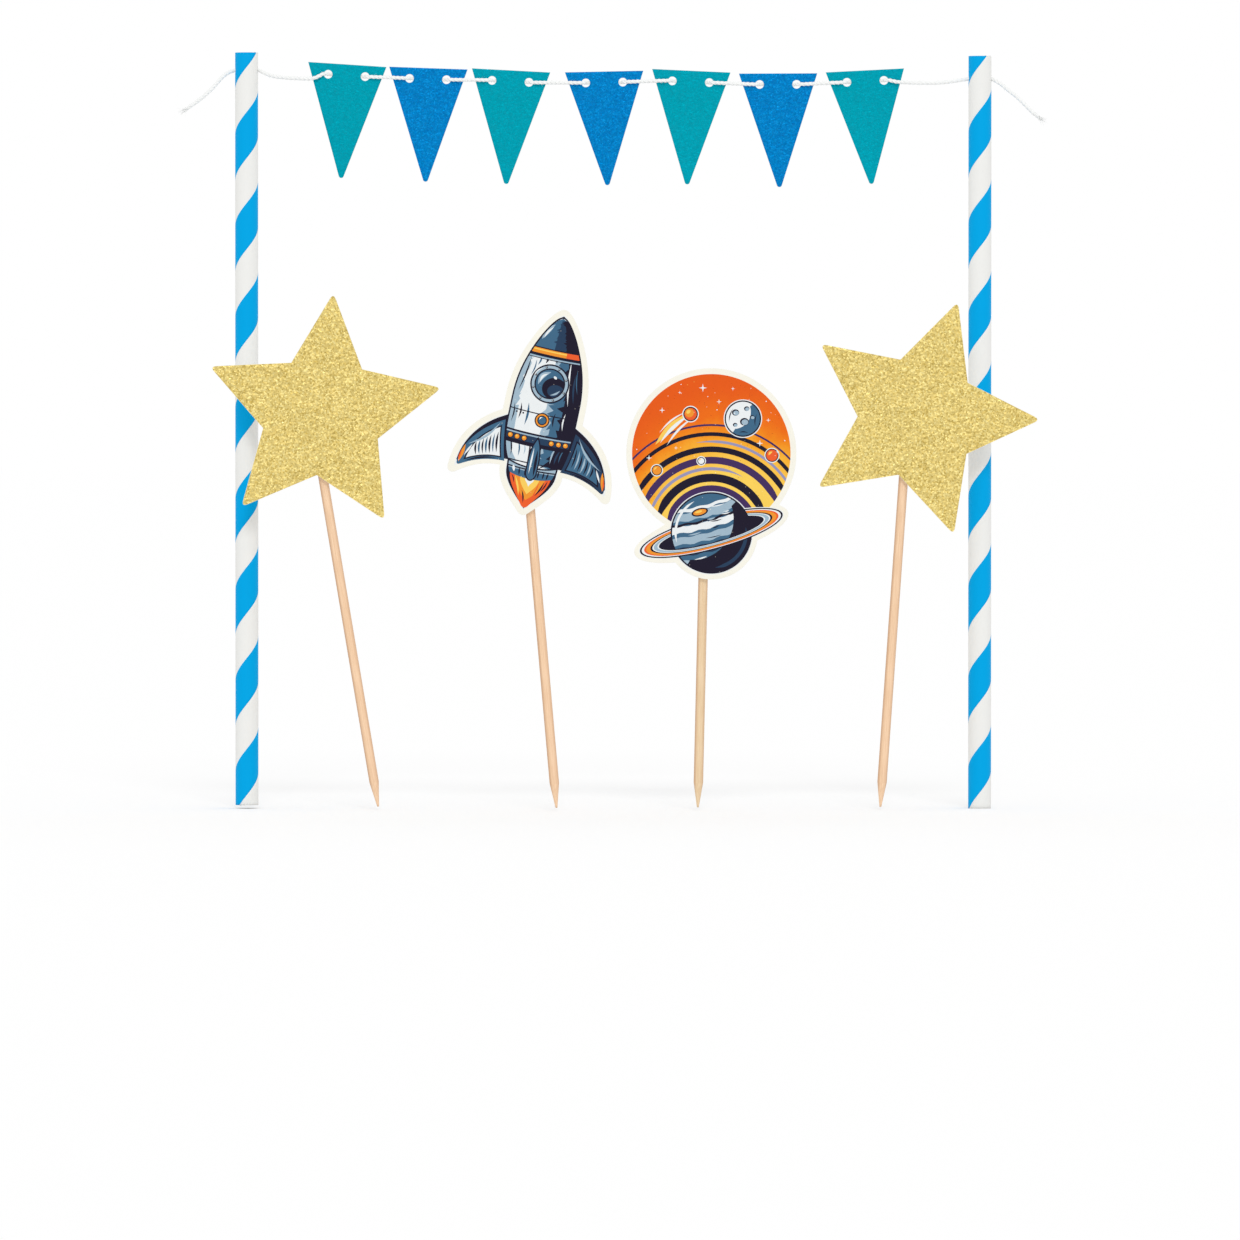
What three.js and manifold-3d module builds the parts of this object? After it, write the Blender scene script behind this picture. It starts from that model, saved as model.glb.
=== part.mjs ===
// A cake topper set: a bunting of seven glitter pennants threaded on a twine between two paper straws,
// and in front of it four bamboo picks, which carry two glitter stars and two printed cards.
// Sizes are in millimetres. X runs from the left straw to the right one, the front faces -Y and Z is up.
// The origin is midway between the two straws, at the height where they come out of what they are planted in.

import * as THREE from 'three';
import { mergeVertices } from 'three/addons/utils/BufferGeometryUtils.js';
import Module from 'manifold-3d';

const wasm = await Module();
wasm.setup();

// Clearance between two pieces that touch on the real object
const GAP = 0.3;

// Straws: plain paper drinking straws. Each is planted to its own depth below the origin.
const STRAW_DIAMETER = 6;
const STRAW_WALL = 0.45;
const STRAW_LENGTH = 197;
const STRAW_SPACING = 192;
const STRAW_DEPTH = { left: 27.5, right: 28.4 };
const STRAW_SIDES = 32;

// Twine: it passes through a hole in each straw, whose heights above the origin are given here
const TWINE_DIAMETER = 1;
const TWINE_SIDES = 8;
const TWINE_HEIGHT = { left: 164.9, right: 162.6 };
const TWINE_HOLE_SIDES = 12;

// Pennants: triangular cards with two punched holes each, side by side on the twine
const CARD_THICKNESS = 0.35;
const PENNANT_WIDTH = 20.6;
const PENNANT_HEIGHT = 29.8;
const PENNANT_TIP_RADIUS = 0.7;
const PENNANT_TIP_SHIFT = 0.25;
const PENNANT_GAP = 2.05;
const PENNANT_HOLE_SPACING = 9.7;
const PENNANT_HOLE_DROP = 2.9;
const PENNANT_HOLE_PLAY = 0.6;
const PENNANT_HOLE_SIDES = 16;

// The row of pennants hangs a little left of the middle. Each has slid a little from its even place (shift),
// hangs at its own height above the origin, and tilts clockwise by its own angle in degrees.
const PENNANT_ROW_X = -2.25;
const PENNANTS = [
  { shift: 0.4, height: 163.55, tilt: 3.7 },
  { shift: -0.95, height: 162.6, tilt: 2 },
  { shift: -2, height: 162, tilt: 3 },
  { shift: -0.1, height: 161.7, tilt: -1.2 },
  { shift: -0.1, height: 161.9, tilt: 2.6 },
  { shift: 0.1, height: 161.2, tilt: -0.2 },
  { shift: 0.3, height: 162, tilt: -2.9 },
];

// Picks: bamboo sticks with a sharpened foot, whose tips end about level with the feet of the straws
const PICK_DIAMETER = 2.5;
const PICK_LENGTH = 105;
const PICK_TAPER = 6.5;
const PICK_TIP_DIAMETER = 0.5;
const PICK_SIDES = 16;

// Foam pads: each glues a pick to the back of its card, and the pick is pressed into it
const PAD_WIDTH = 9;
const PAD_LENGTH = 14;
const PAD_THICKNESS = 2;
const PAD_BELOW_PICK_TOP = 1.5;
const PICK_PRESS = 0.9;

// Stars: the cutting die rounds each point off, over a short way along both its sides.
const STAR_RADIUS = 31.95;
const STAR_INNER_RADIUS = 15.8;
const STAR_POINTS = 5;
const STAR_POINT_CUT = 1.9;

// Round card: a printed disc with a ringed planet across its lower edge. Each has the same plain border.
const DISC_RADIUS = 20.6;
const CARD_BORDER = 1.5;
const PLANET_RADIUS = 10.6;
const PLANET_DROP = 20.7;
const RING_RADIUS = 19.2;
const RING_HALF_HEIGHT = 4.4;
const RING_TILT = 15;
const OVAL_SIDES = 64;

// Rocket card: half of its outline, from the nose down, with its border and in the rocket's own upright frame.
const ROCKET_NOSE = 27;
const ROCKET_TAIL = 27.4;
const ROCKET_HALF_WIDTH = 10.6;
const ROCKET_FIN_REACH = 21.6;
const ROCKET_FIN_DROP = 18.6;
const ROCKET_NOZZLE_HALF_WIDTH = 8.3;
const ROCKET_NOZZLE_DROP = 15.8;

// Where each card's centre is (x, z), how far in front of the straws its plane lies, and its clockwise turn.
// The top end of its pick is given from that centre, with the pick's clockwise lean in degrees.
const STAR_LEFT = { x: -75.8, z: 74.7, front: 17, turn: 5.3, pick: { x: -2.85, z: 1.4, lean: -9.5 } };
const STAR_RIGHT = { x: 79.4, z: 74, front: 17, turn: 19, pick: { x: -2.4, z: 3.2, lean: 4 } };
const ROCKET = { x: -18, z: 75.5, front: 26, turn: 12, pick: { x: -5.9, z: 1.6, lean: -5 } };
const PLANET = { x: 25.5, z: 64.7, front: 23, turn: 0, pick: { x: -1.1, z: 12.8, lean: 1.3 } };

// Sizes that follow from those above
const STRAW_RADIUS = STRAW_DIAMETER / 2;
const STRAW_BORE_RADIUS = STRAW_RADIUS - STRAW_WALL;
const STRAW_X = { left: -STRAW_SPACING / 2, right: STRAW_SPACING / 2 };
const TWINE_RADIUS = TWINE_DIAMETER / 2;
const TWINE_HOLE_RADIUS = TWINE_RADIUS + GAP;
const PENNANT_HOLE_RADIUS = TWINE_RADIUS + PENNANT_HOLE_PLAY;
const TWINE_LEVEL = CARD_THICKNESS / 2 + GAP + TWINE_RADIUS;
const PICK_RADIUS = PICK_DIAMETER / 2;
const PAD_FRONT = CARD_THICKNESS / 2 + GAP;
const PAD_BACK = PAD_FRONT + PAD_THICKNESS;
const PICK_LEVEL = PAD_BACK + PICK_RADIUS - PICK_PRESS;

const radians = THREE.MathUtils.degToRad;
const model = new THREE.Group();

// A closed geometry as a solid that can be cut or joined.
function solidOf(geometry) {
  const bare = geometry.clone();
  bare.deleteAttribute('normal');
  bare.deleteAttribute('uv');
  const merged = mergeVertices(bare, 1e-5);
  return new wasm.Manifold(new wasm.Mesh({
    numProp: 3,
    vertProperties: merged.attributes.position.array,
    triVerts: new Uint32Array(merged.index.array),
  }));
}

// A solid as a geometry that can be drawn.
function geometryOf(solid) {
  const mesh = solid.getMesh();
  const geometry = new THREE.BufferGeometry();
  geometry.setAttribute('position', new THREE.BufferAttribute(mesh.vertProperties, 3));
  geometry.setIndex(new THREE.BufferAttribute(mesh.triVerts, 1));
  geometry.computeVertexNormals();
  return geometry;
}

function addPiece(parent, name, geometry, color, roughness) {
  const material = new THREE.MeshStandardMaterial({ color, roughness, metalness: 0 });
  const piece = new THREE.Mesh(geometry, material);
  piece.name = name;
  parent.add(piece);
  return piece;
}

// A flat outline drawn in X and Z as a card of the set's thickness, whose middle lies at Y = 0.
function cardFrom(outline, curveSegments) {
  const card = new THREE.ExtrudeGeometry(outline, { depth: CARD_THICKNESS, bevelEnabled: false, curveSegments });
  card.rotateX(Math.PI / 2);
  card.translate(0, CARD_THICKNESS / 2, 0);
  return card;
}

// The place in the set of a point given across (right) and up on a card turned clockwise about its origin.
function onTurned(origin, turn, right, up) {
  const angle = radians(turn);
  return new THREE.Vector3(
    origin.x + right * Math.cos(angle) + up * Math.sin(angle),
    0,
    origin.z - right * Math.sin(angle) + up * Math.cos(angle),
  );
}

// Points round an oval that is turned anticlockwise by a tilt in degrees.
function ovalPoints(middle, radiusX, radiusZ, tilt, count) {
  const points = [];
  for (let i = 0; i < count; i += 1) {
    const angle = 2 * Math.PI * (i + 0.5) / count;
    const onOval = new THREE.Vector2(radiusX * Math.cos(angle), radiusZ * Math.sin(angle));
    points.push(onOval.rotateAround(new THREE.Vector2(0, 0), radians(tilt)).add(middle));
  }
  return points;
}

// Straws
function strawGeometry(depth, twineHeight) {
  const tube = new THREE.LatheGeometry([
    new THREE.Vector2(STRAW_BORE_RADIUS, -depth),
    new THREE.Vector2(STRAW_RADIUS, -depth),
    new THREE.Vector2(STRAW_RADIUS, STRAW_LENGTH - depth),
    new THREE.Vector2(STRAW_BORE_RADIUS, STRAW_LENGTH - depth),
    new THREE.Vector2(STRAW_BORE_RADIUS, -depth),
  ], STRAW_SIDES);
  tube.rotateX(Math.PI / 2);
  const drill = new THREE.CylinderGeometry(
    TWINE_HOLE_RADIUS, TWINE_HOLE_RADIUS, 2 * STRAW_DIAMETER, TWINE_HOLE_SIDES,
  );
  drill.rotateZ(Math.PI / 2);
  drill.translate(0, 0, twineHeight);
  return geometryOf(solidOf(tube).subtract(solidOf(drill)));
}

for (const side of ['left', 'right']) {
  const geometry = strawGeometry(STRAW_DEPTH[side], TWINE_HEIGHT[side]);
  const straw = addPiece(model, `straw_${side}`, geometry, 0x3ab4ec, 0.6);
  straw.position.x = STRAW_X[side];
}

// Pennants
function pennantOutline() {
  const halfWidth = PENNANT_WIDTH / 2;
  const top = PENNANT_HOLE_DROP;
  const tipCentre = top - PENNANT_HEIGHT + PENNANT_TIP_RADIUS;
  // A straight side touches the tip's circle where the circle's radius stands square to it.
  const touch = (across) => {
    const reach = Math.hypot(across, top - tipCentre);
    return Math.atan2(top - tipCentre, across) - Math.acos(PENNANT_TIP_RADIUS / reach);
  };
  const onLeft = Math.PI - touch(halfWidth + PENNANT_TIP_SHIFT);
  const onRight = 2 * Math.PI + touch(halfWidth - PENNANT_TIP_SHIFT);
  const outline = new THREE.Shape();
  outline.moveTo(halfWidth, top);
  outline.lineTo(-halfWidth, top);
  outline.absarc(PENNANT_TIP_SHIFT, tipCentre, PENNANT_TIP_RADIUS, onLeft, onRight, false);
  for (const side of [-1, 1]) {
    const middle = new THREE.Vector2(side * PENNANT_HOLE_SPACING / 2, 0);
    const hole = ovalPoints(middle, PENNANT_HOLE_RADIUS, PENNANT_HOLE_RADIUS, 0, PENNANT_HOLE_SIDES);
    outline.holes.push(new THREE.Path(hole));
  }
  return outline;
}

const middleOfRow = (PENNANTS.length - 1) / 2;
const pennantPlaces = PENNANTS.map(({ shift, height, tilt }, i) => ({
  x: PENNANT_ROW_X + (i - middleOfRow) * (PENNANT_WIDTH + PENNANT_GAP) + shift,
  z: height,
  tilt,
}));

pennantPlaces.forEach((place, i) => {
  const color = i % 2 === 0 ? 0x12a3b4 : 0x1a7fd0;
  const pennant = addPiece(model, `pennant_${i + 1}`, cardFrom(pennantOutline(), 8), color, 0.35);
  pennant.position.set(place.x, 0, place.z);
  pennant.rotation.y = radians(place.tilt);
});

// Twine. It runs in front of the cards, dips behind each card between the card's two holes, and crosses a
// hole in a slanting S, which is given here as steps along and behind the card from the hole's middle.
const CROSSING_NEAR = { along: 0.32, behind: 0.55 * TWINE_LEVEL };
const CROSSING_FAR = { along: 1.1, behind: TWINE_LEVEL };

function crossing(place, holeSide, inwards) {
  const steps = [
    [-CROSSING_FAR.along, -CROSSING_FAR.behind],
    [-CROSSING_NEAR.along, -CROSSING_NEAR.behind],
    [CROSSING_NEAR.along, CROSSING_NEAR.behind],
    [CROSSING_FAR.along, CROSSING_FAR.behind],
  ];
  return steps.map(([along, behind]) => {
    const point = onTurned(place, place.tilt, holeSide * PENNANT_HOLE_SPACING / 2 + along, 0);
    point.y = inwards ? behind : -behind;
    return point;
  });
}

// Beside the straws the twine lies a little further forward, clear of the outer pennants as they swing. There each
// of its points is given by its distance from the straw's axis, to the right (1) or to the left (-1), and by how
// far it lies forward of the axis and below the straw's hole.
const SPAN_FORWARD = 1.6 * TWINE_LEVEL;
const IN_STRAW = STRAW_RADIUS + 0.2;

function besideStraw(side, way, steps) {
  return steps.map(([across, forward, below]) => new THREE.Vector3(
    STRAW_X[side] + way * across, -forward, TWINE_HEIGHT[side] - below,
  ));
}

const tailRoutes = {
  left: besideStraw('left', -1, [
    [GAP / 2, 0, 0], [IN_STRAW, 0, 0.05], [4.9, 0.2, 0.7], [6, 0.4, 1.5], [7.04, 0.8, 2.6],
    [8.5, 1.2, 4.3], [10.2, 1.7, 6], [12.3, 2.1, 7.8], [14.4, 2.4, 9.3], [16.4, 2.6, 10.7],
  ]),
  right: besideStraw('right', 1, [
    [GAP / 2, 0, 0], [IN_STRAW, 0, 0.05], [4.2, 0.1, 0.55], [5.33, 0.3, 1.25], [7.42, 0.8, 2.93],
    [9.5, 1.4, 4.6], [11.6, 1.8, 6.6], [13.7, 2.1, 8.75], [16, 2.3, 10.6],
  ]),
};

const spanRoute = [
  ...besideStraw('left', 1, [
    [GAP / 2, 0, 0], [IN_STRAW, 0, 0], [4.4, 0.1 * SPAN_FORWARD, 0.6], [7, 0.4 * SPAN_FORWARD, 1.55],
    [10.2, 0.75 * SPAN_FORWARD, 1.95], [13.5, SPAN_FORWARD, 2.15], [17.5, SPAN_FORWARD, 2.15],
  ]),
  ...pennantPlaces.flatMap((place) => [...crossing(place, -1, true), ...crossing(place, 1, false)]),
  ...besideStraw('right', -1, [
    [GAP / 2, 0, 0], [IN_STRAW, 0, 0], [5.5, 0.2 * SPAN_FORWARD, 0.35], [8.5, 0.5 * SPAN_FORWARD, 0.8],
    [11.4, 0.75 * SPAN_FORWARD, 1.05], [15.5, SPAN_FORWARD, 1.05], [21.5, SPAN_FORWARD, 0.8],
  ]).reverse(),
];

// A path that takes its steps at the given points, however far apart they are.
class RouteCurve extends THREE.Curve {
  constructor(points) {
    super();
    this.points = points;
  }

  getPoint(t, target = new THREE.Vector3()) {
    const last = this.points.length - 1;
    const whole = Math.min(Math.floor(t * last + 1e-9), last - 1);
    return target.lerpVectors(this.points[whole], this.points[whole + 1], t * last - whole);
  }

  getPointAt(t, target) {
    return this.getPoint(t, target);
  }

  getTangentAt(t, target = new THREE.Vector3()) {
    const last = this.points.length - 1;
    const here = Math.round(t * last);
    const before = this.points[Math.max(here - 1, 0)];
    const after = this.points[Math.min(here + 1, last)];
    const arriving = this.points[here].clone().sub(before).normalize();
    const leaving = after.clone().sub(this.points[here]).normalize();
    return target.copy(arriving).add(leaving).normalize();
  }
}

function twineGeometry(points) {
  const section = new THREE.Shape();
  for (let i = 0; i < TWINE_SIDES; i += 1) {
    const angle = 2 * Math.PI * (i + 0.5) / TWINE_SIDES;
    const across = TWINE_RADIUS * Math.cos(angle);
    const up = TWINE_RADIUS * Math.sin(angle);
    if (i === 0) section.moveTo(across, up);
    else section.lineTo(across, up);
  }
  section.closePath();
  return new THREE.ExtrudeGeometry(section, { steps: points.length - 1, extrudePath: new RouteCurve(points) });
}

addPiece(model, 'twine_tail_left', twineGeometry(tailRoutes.left), 0xf2f3f5, 0.85);
addPiece(model, 'twine_span', twineGeometry(spanRoute), 0xf2f3f5, 0.85);
addPiece(model, 'twine_tail_right', twineGeometry(tailRoutes.right), 0xf2f3f5, 0.85);

// Card outlines, each about its own centre
function starOutline() {
  const corners = [];
  for (let i = 0; i < 2 * STAR_POINTS; i += 1) {
    const angle = Math.PI / 2 - Math.PI * i / STAR_POINTS;
    const radius = i % 2 === 0 ? STAR_RADIUS : STAR_INNER_RADIUS;
    corners.push(new THREE.Vector2(radius * Math.cos(angle), radius * Math.sin(angle)));
  }
  const outline = new THREE.Shape();
  corners.forEach((corner, i) => {
    if (i % 2 === 1) {
      outline.lineTo(corner.x, corner.y);
      return;
    }
    const [from, to] = [corners.at(i - 1), corners[i + 1]].map(
      (notch) => notch.clone().sub(corner).setLength(STAR_POINT_CUT).add(corner),
    );
    if (i === 0) outline.moveTo(from.x, from.y);
    else outline.lineTo(from.x, from.y);
    outline.quadraticCurveTo(corner.x, corner.y, to.x, to.y);
  });
  return outline;
}

function rocketOutline() {
  const w = ROCKET_HALF_WIDTH;
  const fin = ROCKET_FIN_REACH;
  const drop = ROCKET_FIN_DROP;
  const nozzle = ROCKET_NOZZLE_HALF_WIDTH;
  const base = ROCKET_NOZZLE_DROP;
  const outline = new THREE.Shape();
  outline.moveTo(0, ROCKET_NOSE);
  outline.bezierCurveTo(1.8, ROCKET_NOSE, 4.1, 23.6, 5.95, 20.2);
  outline.bezierCurveTo(8.8, 14.7, w, 9, w, 2.5);
  outline.lineTo(w, -1.5);
  outline.bezierCurveTo(w + 5, -4.1, fin - 0.2, -9.6, fin, -drop);
  outline.bezierCurveTo(fin, -drop - 1.8, fin - 1.6, -drop - 2, fin - 2.6, -drop - 1);
  outline.bezierCurveTo(fin - 6, -base - 1.4, nozzle + 4, -base, nozzle, -base);
  outline.bezierCurveTo(nozzle, -base - 4.2, 4.9, -23.1, 1.2, -ROCKET_TAIL + 0.5);
  outline.quadraticCurveTo(0, -ROCKET_TAIL - 0.5, -1.2, -ROCKET_TAIL + 0.5);
  outline.bezierCurveTo(-4.9, -23.1, -nozzle, -base - 4.2, -nozzle, -base);
  outline.bezierCurveTo(-nozzle - 4, -base, -fin + 6, -base - 1.4, -fin + 2.6, -drop - 1);
  outline.bezierCurveTo(-fin + 1.6, -drop - 2, -fin, -drop - 1.8, -fin, -drop);
  outline.bezierCurveTo(-fin + 0.2, -9.6, -w - 5, -4.1, -w, -1.5);
  outline.lineTo(-w, 2.5);
  outline.bezierCurveTo(-w, 9, -8.8, 14.7, -5.95, 20.2);
  outline.bezierCurveTo(-4.1, 23.6, -1.8, ROCKET_NOSE, 0, ROCKET_NOSE);
  return outline;
}

function planetCard() {
  const disc = DISC_RADIUS + CARD_BORDER;
  const planet = PLANET_RADIUS + CARD_BORDER;
  const ring = { x: RING_RADIUS + CARD_BORDER, z: RING_HALF_HEIGHT + CARD_BORDER };
  const middle = new THREE.Vector2(0, 0);
  const low = new THREE.Vector2(0, -PLANET_DROP);
  const [first, ...others] = [
    ovalPoints(middle, disc, disc, 0, OVAL_SIDES),
    ovalPoints(low, planet, planet, 0, OVAL_SIDES),
    ovalPoints(low, ring.x, ring.z, RING_TILT, OVAL_SIDES),
  ].map((points) => solidOf(cardFrom(new THREE.Shape(points), 1)));
  return geometryOf(others.reduce((joined, solid) => joined.add(solid), first));
}

// A pick with its top end at the origin, hanging straight down to its sharpened foot
function pickGeometry() {
  const edge = PICK_DIAMETER / 10;
  const pick = new THREE.LatheGeometry([
    new THREE.Vector2(0, -PICK_LENGTH),
    new THREE.Vector2(PICK_TIP_DIAMETER / 2, -PICK_LENGTH),
    new THREE.Vector2(PICK_RADIUS, -PICK_LENGTH + PICK_TAPER),
    new THREE.Vector2(PICK_RADIUS, -edge),
    new THREE.Vector2(PICK_RADIUS - edge, 0),
    new THREE.Vector2(0, 0),
  ], PICK_SIDES);
  pick.rotateX(Math.PI / 2);
  return pick;
}

// A pad with a groove down its back for the pick, in the pick's frame
function padGeometry() {
  const pad = new THREE.BoxGeometry(PAD_WIDTH, PAD_THICKNESS, PAD_LENGTH);
  pad.translate(0, PAD_FRONT - PICK_LEVEL + PAD_THICKNESS / 2, -PAD_BELOW_PICK_TOP - PAD_LENGTH / 2);
  const groove = new THREE.CylinderGeometry(
    PICK_RADIUS + GAP, PICK_RADIUS + GAP, 2 * PICK_LENGTH, PICK_SIDES,
  );
  groove.rotateX(Math.PI / 2);
  return geometryOf(solidOf(pad).subtract(solidOf(groove)));
}

function addTopper(name, place, cardGeometry, cardColor, cardRoughness) {
  const card = addPiece(model, `${name}_card`, cardGeometry, cardColor, cardRoughness);
  card.position.set(place.x, -place.front, place.z);
  card.rotation.y = radians(place.turn);
  const leaning = new THREE.Group();
  leaning.position.set(place.x + place.pick.x, PICK_LEVEL - place.front, place.z + place.pick.z);
  leaning.rotation.y = radians(place.pick.lean);
  addPiece(leaning, `${name}_pick`, pickGeometry(), 0xe8c793, 0.7);
  addPiece(leaning, `${name}_pad`, padGeometry(), 0xf4f2ec, 0.9);
  model.add(leaning);
}

addTopper('star_left', STAR_LEFT, cardFrom(starOutline(), 4), 0xe0c766, 0.35);
addTopper('star_right', STAR_RIGHT, cardFrom(starOutline(), 4), 0xe0c766, 0.35);
addTopper('rocket', ROCKET, cardFrom(rocketOutline(), 6), 0x3a5f86, 0.5);
addTopper('planet', PLANET, planetCard(), 0xf0892f, 0.5);

export default model;
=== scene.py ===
import math
import random

import bmesh
import bpy
import numpy as np
from mathutils import Matrix, Vector, noise
from mathutils.geometry import delaunay_2d_cdt, interpolate_bezier


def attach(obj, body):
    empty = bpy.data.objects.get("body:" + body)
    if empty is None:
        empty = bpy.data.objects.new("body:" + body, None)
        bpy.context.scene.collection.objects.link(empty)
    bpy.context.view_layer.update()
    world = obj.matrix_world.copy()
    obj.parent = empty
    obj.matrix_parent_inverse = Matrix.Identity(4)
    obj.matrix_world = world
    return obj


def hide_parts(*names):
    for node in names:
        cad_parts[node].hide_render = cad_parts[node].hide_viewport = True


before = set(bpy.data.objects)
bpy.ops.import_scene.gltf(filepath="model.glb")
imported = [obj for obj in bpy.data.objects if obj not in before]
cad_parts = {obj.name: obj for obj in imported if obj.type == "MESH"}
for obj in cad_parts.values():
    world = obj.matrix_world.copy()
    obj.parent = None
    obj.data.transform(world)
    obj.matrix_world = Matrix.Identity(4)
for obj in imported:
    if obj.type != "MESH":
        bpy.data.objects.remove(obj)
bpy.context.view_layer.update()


# Straws
# Two paper drinking straws hold the bunting up. Each is wound from strips of paper, white with one blue
# stripe, so that the stripe and the outer strip's joint climb round it together. The inside is plain paper.

straw_radius = 3.0
straw_wall = 0.45
straw_length = 197.0
straw_apart = 192.0
straw_lead = 23.8
straw_seam_width = 0.16
straw_seam_depth = 0.05
straw_columns = 48
straw_rows = 24
stripe_width = 12.1
straw_depth = {"left": 27.5, "right": 28.4}
stripe_start = {"left": 141.7, "right": 142.5}
twine_height = {"left": 164.9, "right": 162.6}
twine_hole_radius = 0.8


def colour(red, green, blue):
    """A screen colour of 0 to 255 a channel as the linear colour that shaders take."""
    channels = [c / 255 for c in (red, green, blue)]
    return [c / 12.92 if c < 0.04045 else ((c + 0.055) / 1.055) ** 2.4 for c in channels] + [1]


def feed(tree, sockets, terms):
    """Gives sockets, by name or number, plain values or links from the outputs of other nodes."""
    for name, term in terms.items():
        if isinstance(term, bpy.types.NodeSocket):
            tree.links.new(term, sockets[name])
        else:
            sockets[name].default_value = term


def place_node(tree, kind, terms=None, **settings):
    """The outputs of a new shader node with its settings and with what goes into it."""
    made = tree.nodes.new("ShaderNode" + kind)
    for name, value in settings.items():
        setattr(made, name, value)
    feed(tree, made.inputs, terms or {})
    return made.outputs


def place_math(tree, operation, *terms, kind="Math"):
    """The result of some maths on up to three terms."""
    return place_node(tree, kind, dict(enumerate(terms)), operation=operation)[0]


def place_mix(tree, share, low, high):
    """A colour between two others."""
    return place_node(tree, "Mix", {0: share, 6: low, 7: high}, data_type="RGBA")[2]


def place_range(tree, value, start, end, low=0.0, high=1.0):
    """A value stretched smoothly so that start gives low and end gives high."""
    terms = {"Value": value, "From Min": start, "From Max": end, "To Min": low, "To Max": high}
    return place_node(tree, "MapRange", terms, interpolation_type="SMOOTHSTEP")["Result"]


def place_noise(tree, where, scale, detail, roughness=0.5, distortion=0.0):
    """Cloudy noise from 0 to 1."""
    terms = {"Vector": where, "Scale": scale, "Detail": detail}
    terms |= {"Roughness": roughness, "Distortion": distortion}
    return place_node(tree, "TexNoise", terms)["Fac"]


def millimetres(tree, across=1.0, up=1.0):
    """The place on the piece in millimetres, with a factor across it and one up it."""
    where = place_node(tree, "TexCoord")["Object"]
    return place_node(tree, "Mapping", {"Vector": where, "Scale": (1000 * across, 1000, 1000 * up)})["Vector"]


def shaded(tree, tint, shade):
    """A colour made lighter or darker by a factor."""
    return place_node(tree, "VectorMath", {0: tint, "Scale": shade}, operation="SCALE")[0]


def new_group(name, **takes):
    """An empty shader group and its inputs, each a value or a colour by what it starts as."""
    group = bpy.data.node_groups.new(name, "ShaderNodeTree")
    for socket, start in takes.items():
        kind = "NodeSocketFloat" if isinstance(start, float) else "NodeSocketColor"
        group.interface.new_socket(socket, in_out="INPUT", socket_type=kind).default_value = start
    return group, group.nodes.new("NodeGroupInput").outputs


def put_out(group, **gives):
    """The finished group, with its outputs linked."""
    kinds = {"Color": "NodeSocketColor", "Normal": "NodeSocketVector"}
    for socket in gives:
        kind = kinds.get(socket, "NodeSocketFloat")
        group.interface.new_socket(socket, in_out="OUTPUT", socket_type=kind)
    feed(group, group.nodes.new("NodeGroupOutput").inputs, gives)
    return group


def paper_group():
    """The fibres and the faint clouding of paper."""
    group, given = new_group("paper", Tint=(1, 1, 1, 1), Fibre=1.0, Clouding=0.05)
    where = millimetres(group, up=0.42)
    fibre = place_noise(group, where, 6.0, 5.0, 0.65, 1.3)
    uneven = place_math(group, "MULTIPLY_ADD", place_noise(group, where, 0.5, 3.0), 0.6, fibre)
    centred = place_math(group, "SUBTRACT", uneven, 0.8)
    shade = place_math(group, "MULTIPLY_ADD", centred, given["Clouding"], 1.0)
    height = place_math(group, "MULTIPLY", fibre, given["Fibre"])
    return put_out(group, Color=shaded(group, given["Tint"], shade), Height=height)


paper = paper_group()


def new_material(name, roughness, specular):
    """A material with its tree and the inputs of its Principled shader."""
    material = bpy.data.materials.new(name)
    material.use_nodes = True
    shader = material.node_tree.nodes["Principled BSDF"].inputs
    feed(material.node_tree, shader, {"Roughness": roughness, "Specular IOR Level": specular})
    return material, material.node_tree, shader


def relief(tree, height, depth):
    """The normal of a relief with a depth in millimetres."""
    return place_node(tree, "Bump", {"Strength": 1.0, "Distance": depth * 0.001, "Height": height})["Normal"]


def paper_material(name, tint, roughness, fibre, clouding=0.05, specular=0.25):
    """Paper of one tint, with its fibres raised and its clouding shown by those amounts."""
    material, tree, shader = new_material(name, roughness, specular)
    grain = place_node(tree, "Group", {"Tint": tint, "Fibre": fibre, "Clouding": clouding}, node_tree=paper)
    feed(tree, shader, {"Base Color": grain["Color"], "Normal": relief(tree, grain["Height"], 0.02)})
    return material


straw_white = paper_material("straw white paper", colour(240, 240, 237), 0.5, 0.8)
straw_blue = paper_material("straw blue ink", colour(0, 168, 232), 0.45, 0.6, 0.04, 0.04)
straw_inside = paper_material("straw inner paper", colour(232, 230, 223), 0.8, 1.4, 0.1)


def new_piece(name, mesh, materials=(), location=(0, 0, 0), turn=0.0):
    """Puts a mesh that was made in millimetres into the scene, turned clockwise as seen from the front."""
    mesh.transform(Matrix.Scale(0.001, 4))
    for material in materials:
        mesh.materials.append(material)
    piece = bpy.data.objects.new(name, mesh)
    piece.location = Vector(location) * 0.001
    piece.rotation_euler = (0, math.radians(turn), 0)
    bpy.context.scene.collection.objects.link(piece)
    return piece


def keep_result(piece):
    """Applies a piece's modifiers, so that its mesh holds their result."""
    bpy.context.view_layer.update()
    shown = piece.evaluated_get(bpy.context.evaluated_depsgraph_get())
    piece.data = bpy.data.meshes.new_from_object(shown)
    piece.modifiers.clear()


def taken_from(mesh, name):
    """The finished mesh of what was built in bmesh."""
    made = bpy.data.meshes.new(name)
    mesh.to_mesh(made)
    mesh.free()
    return made


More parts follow.
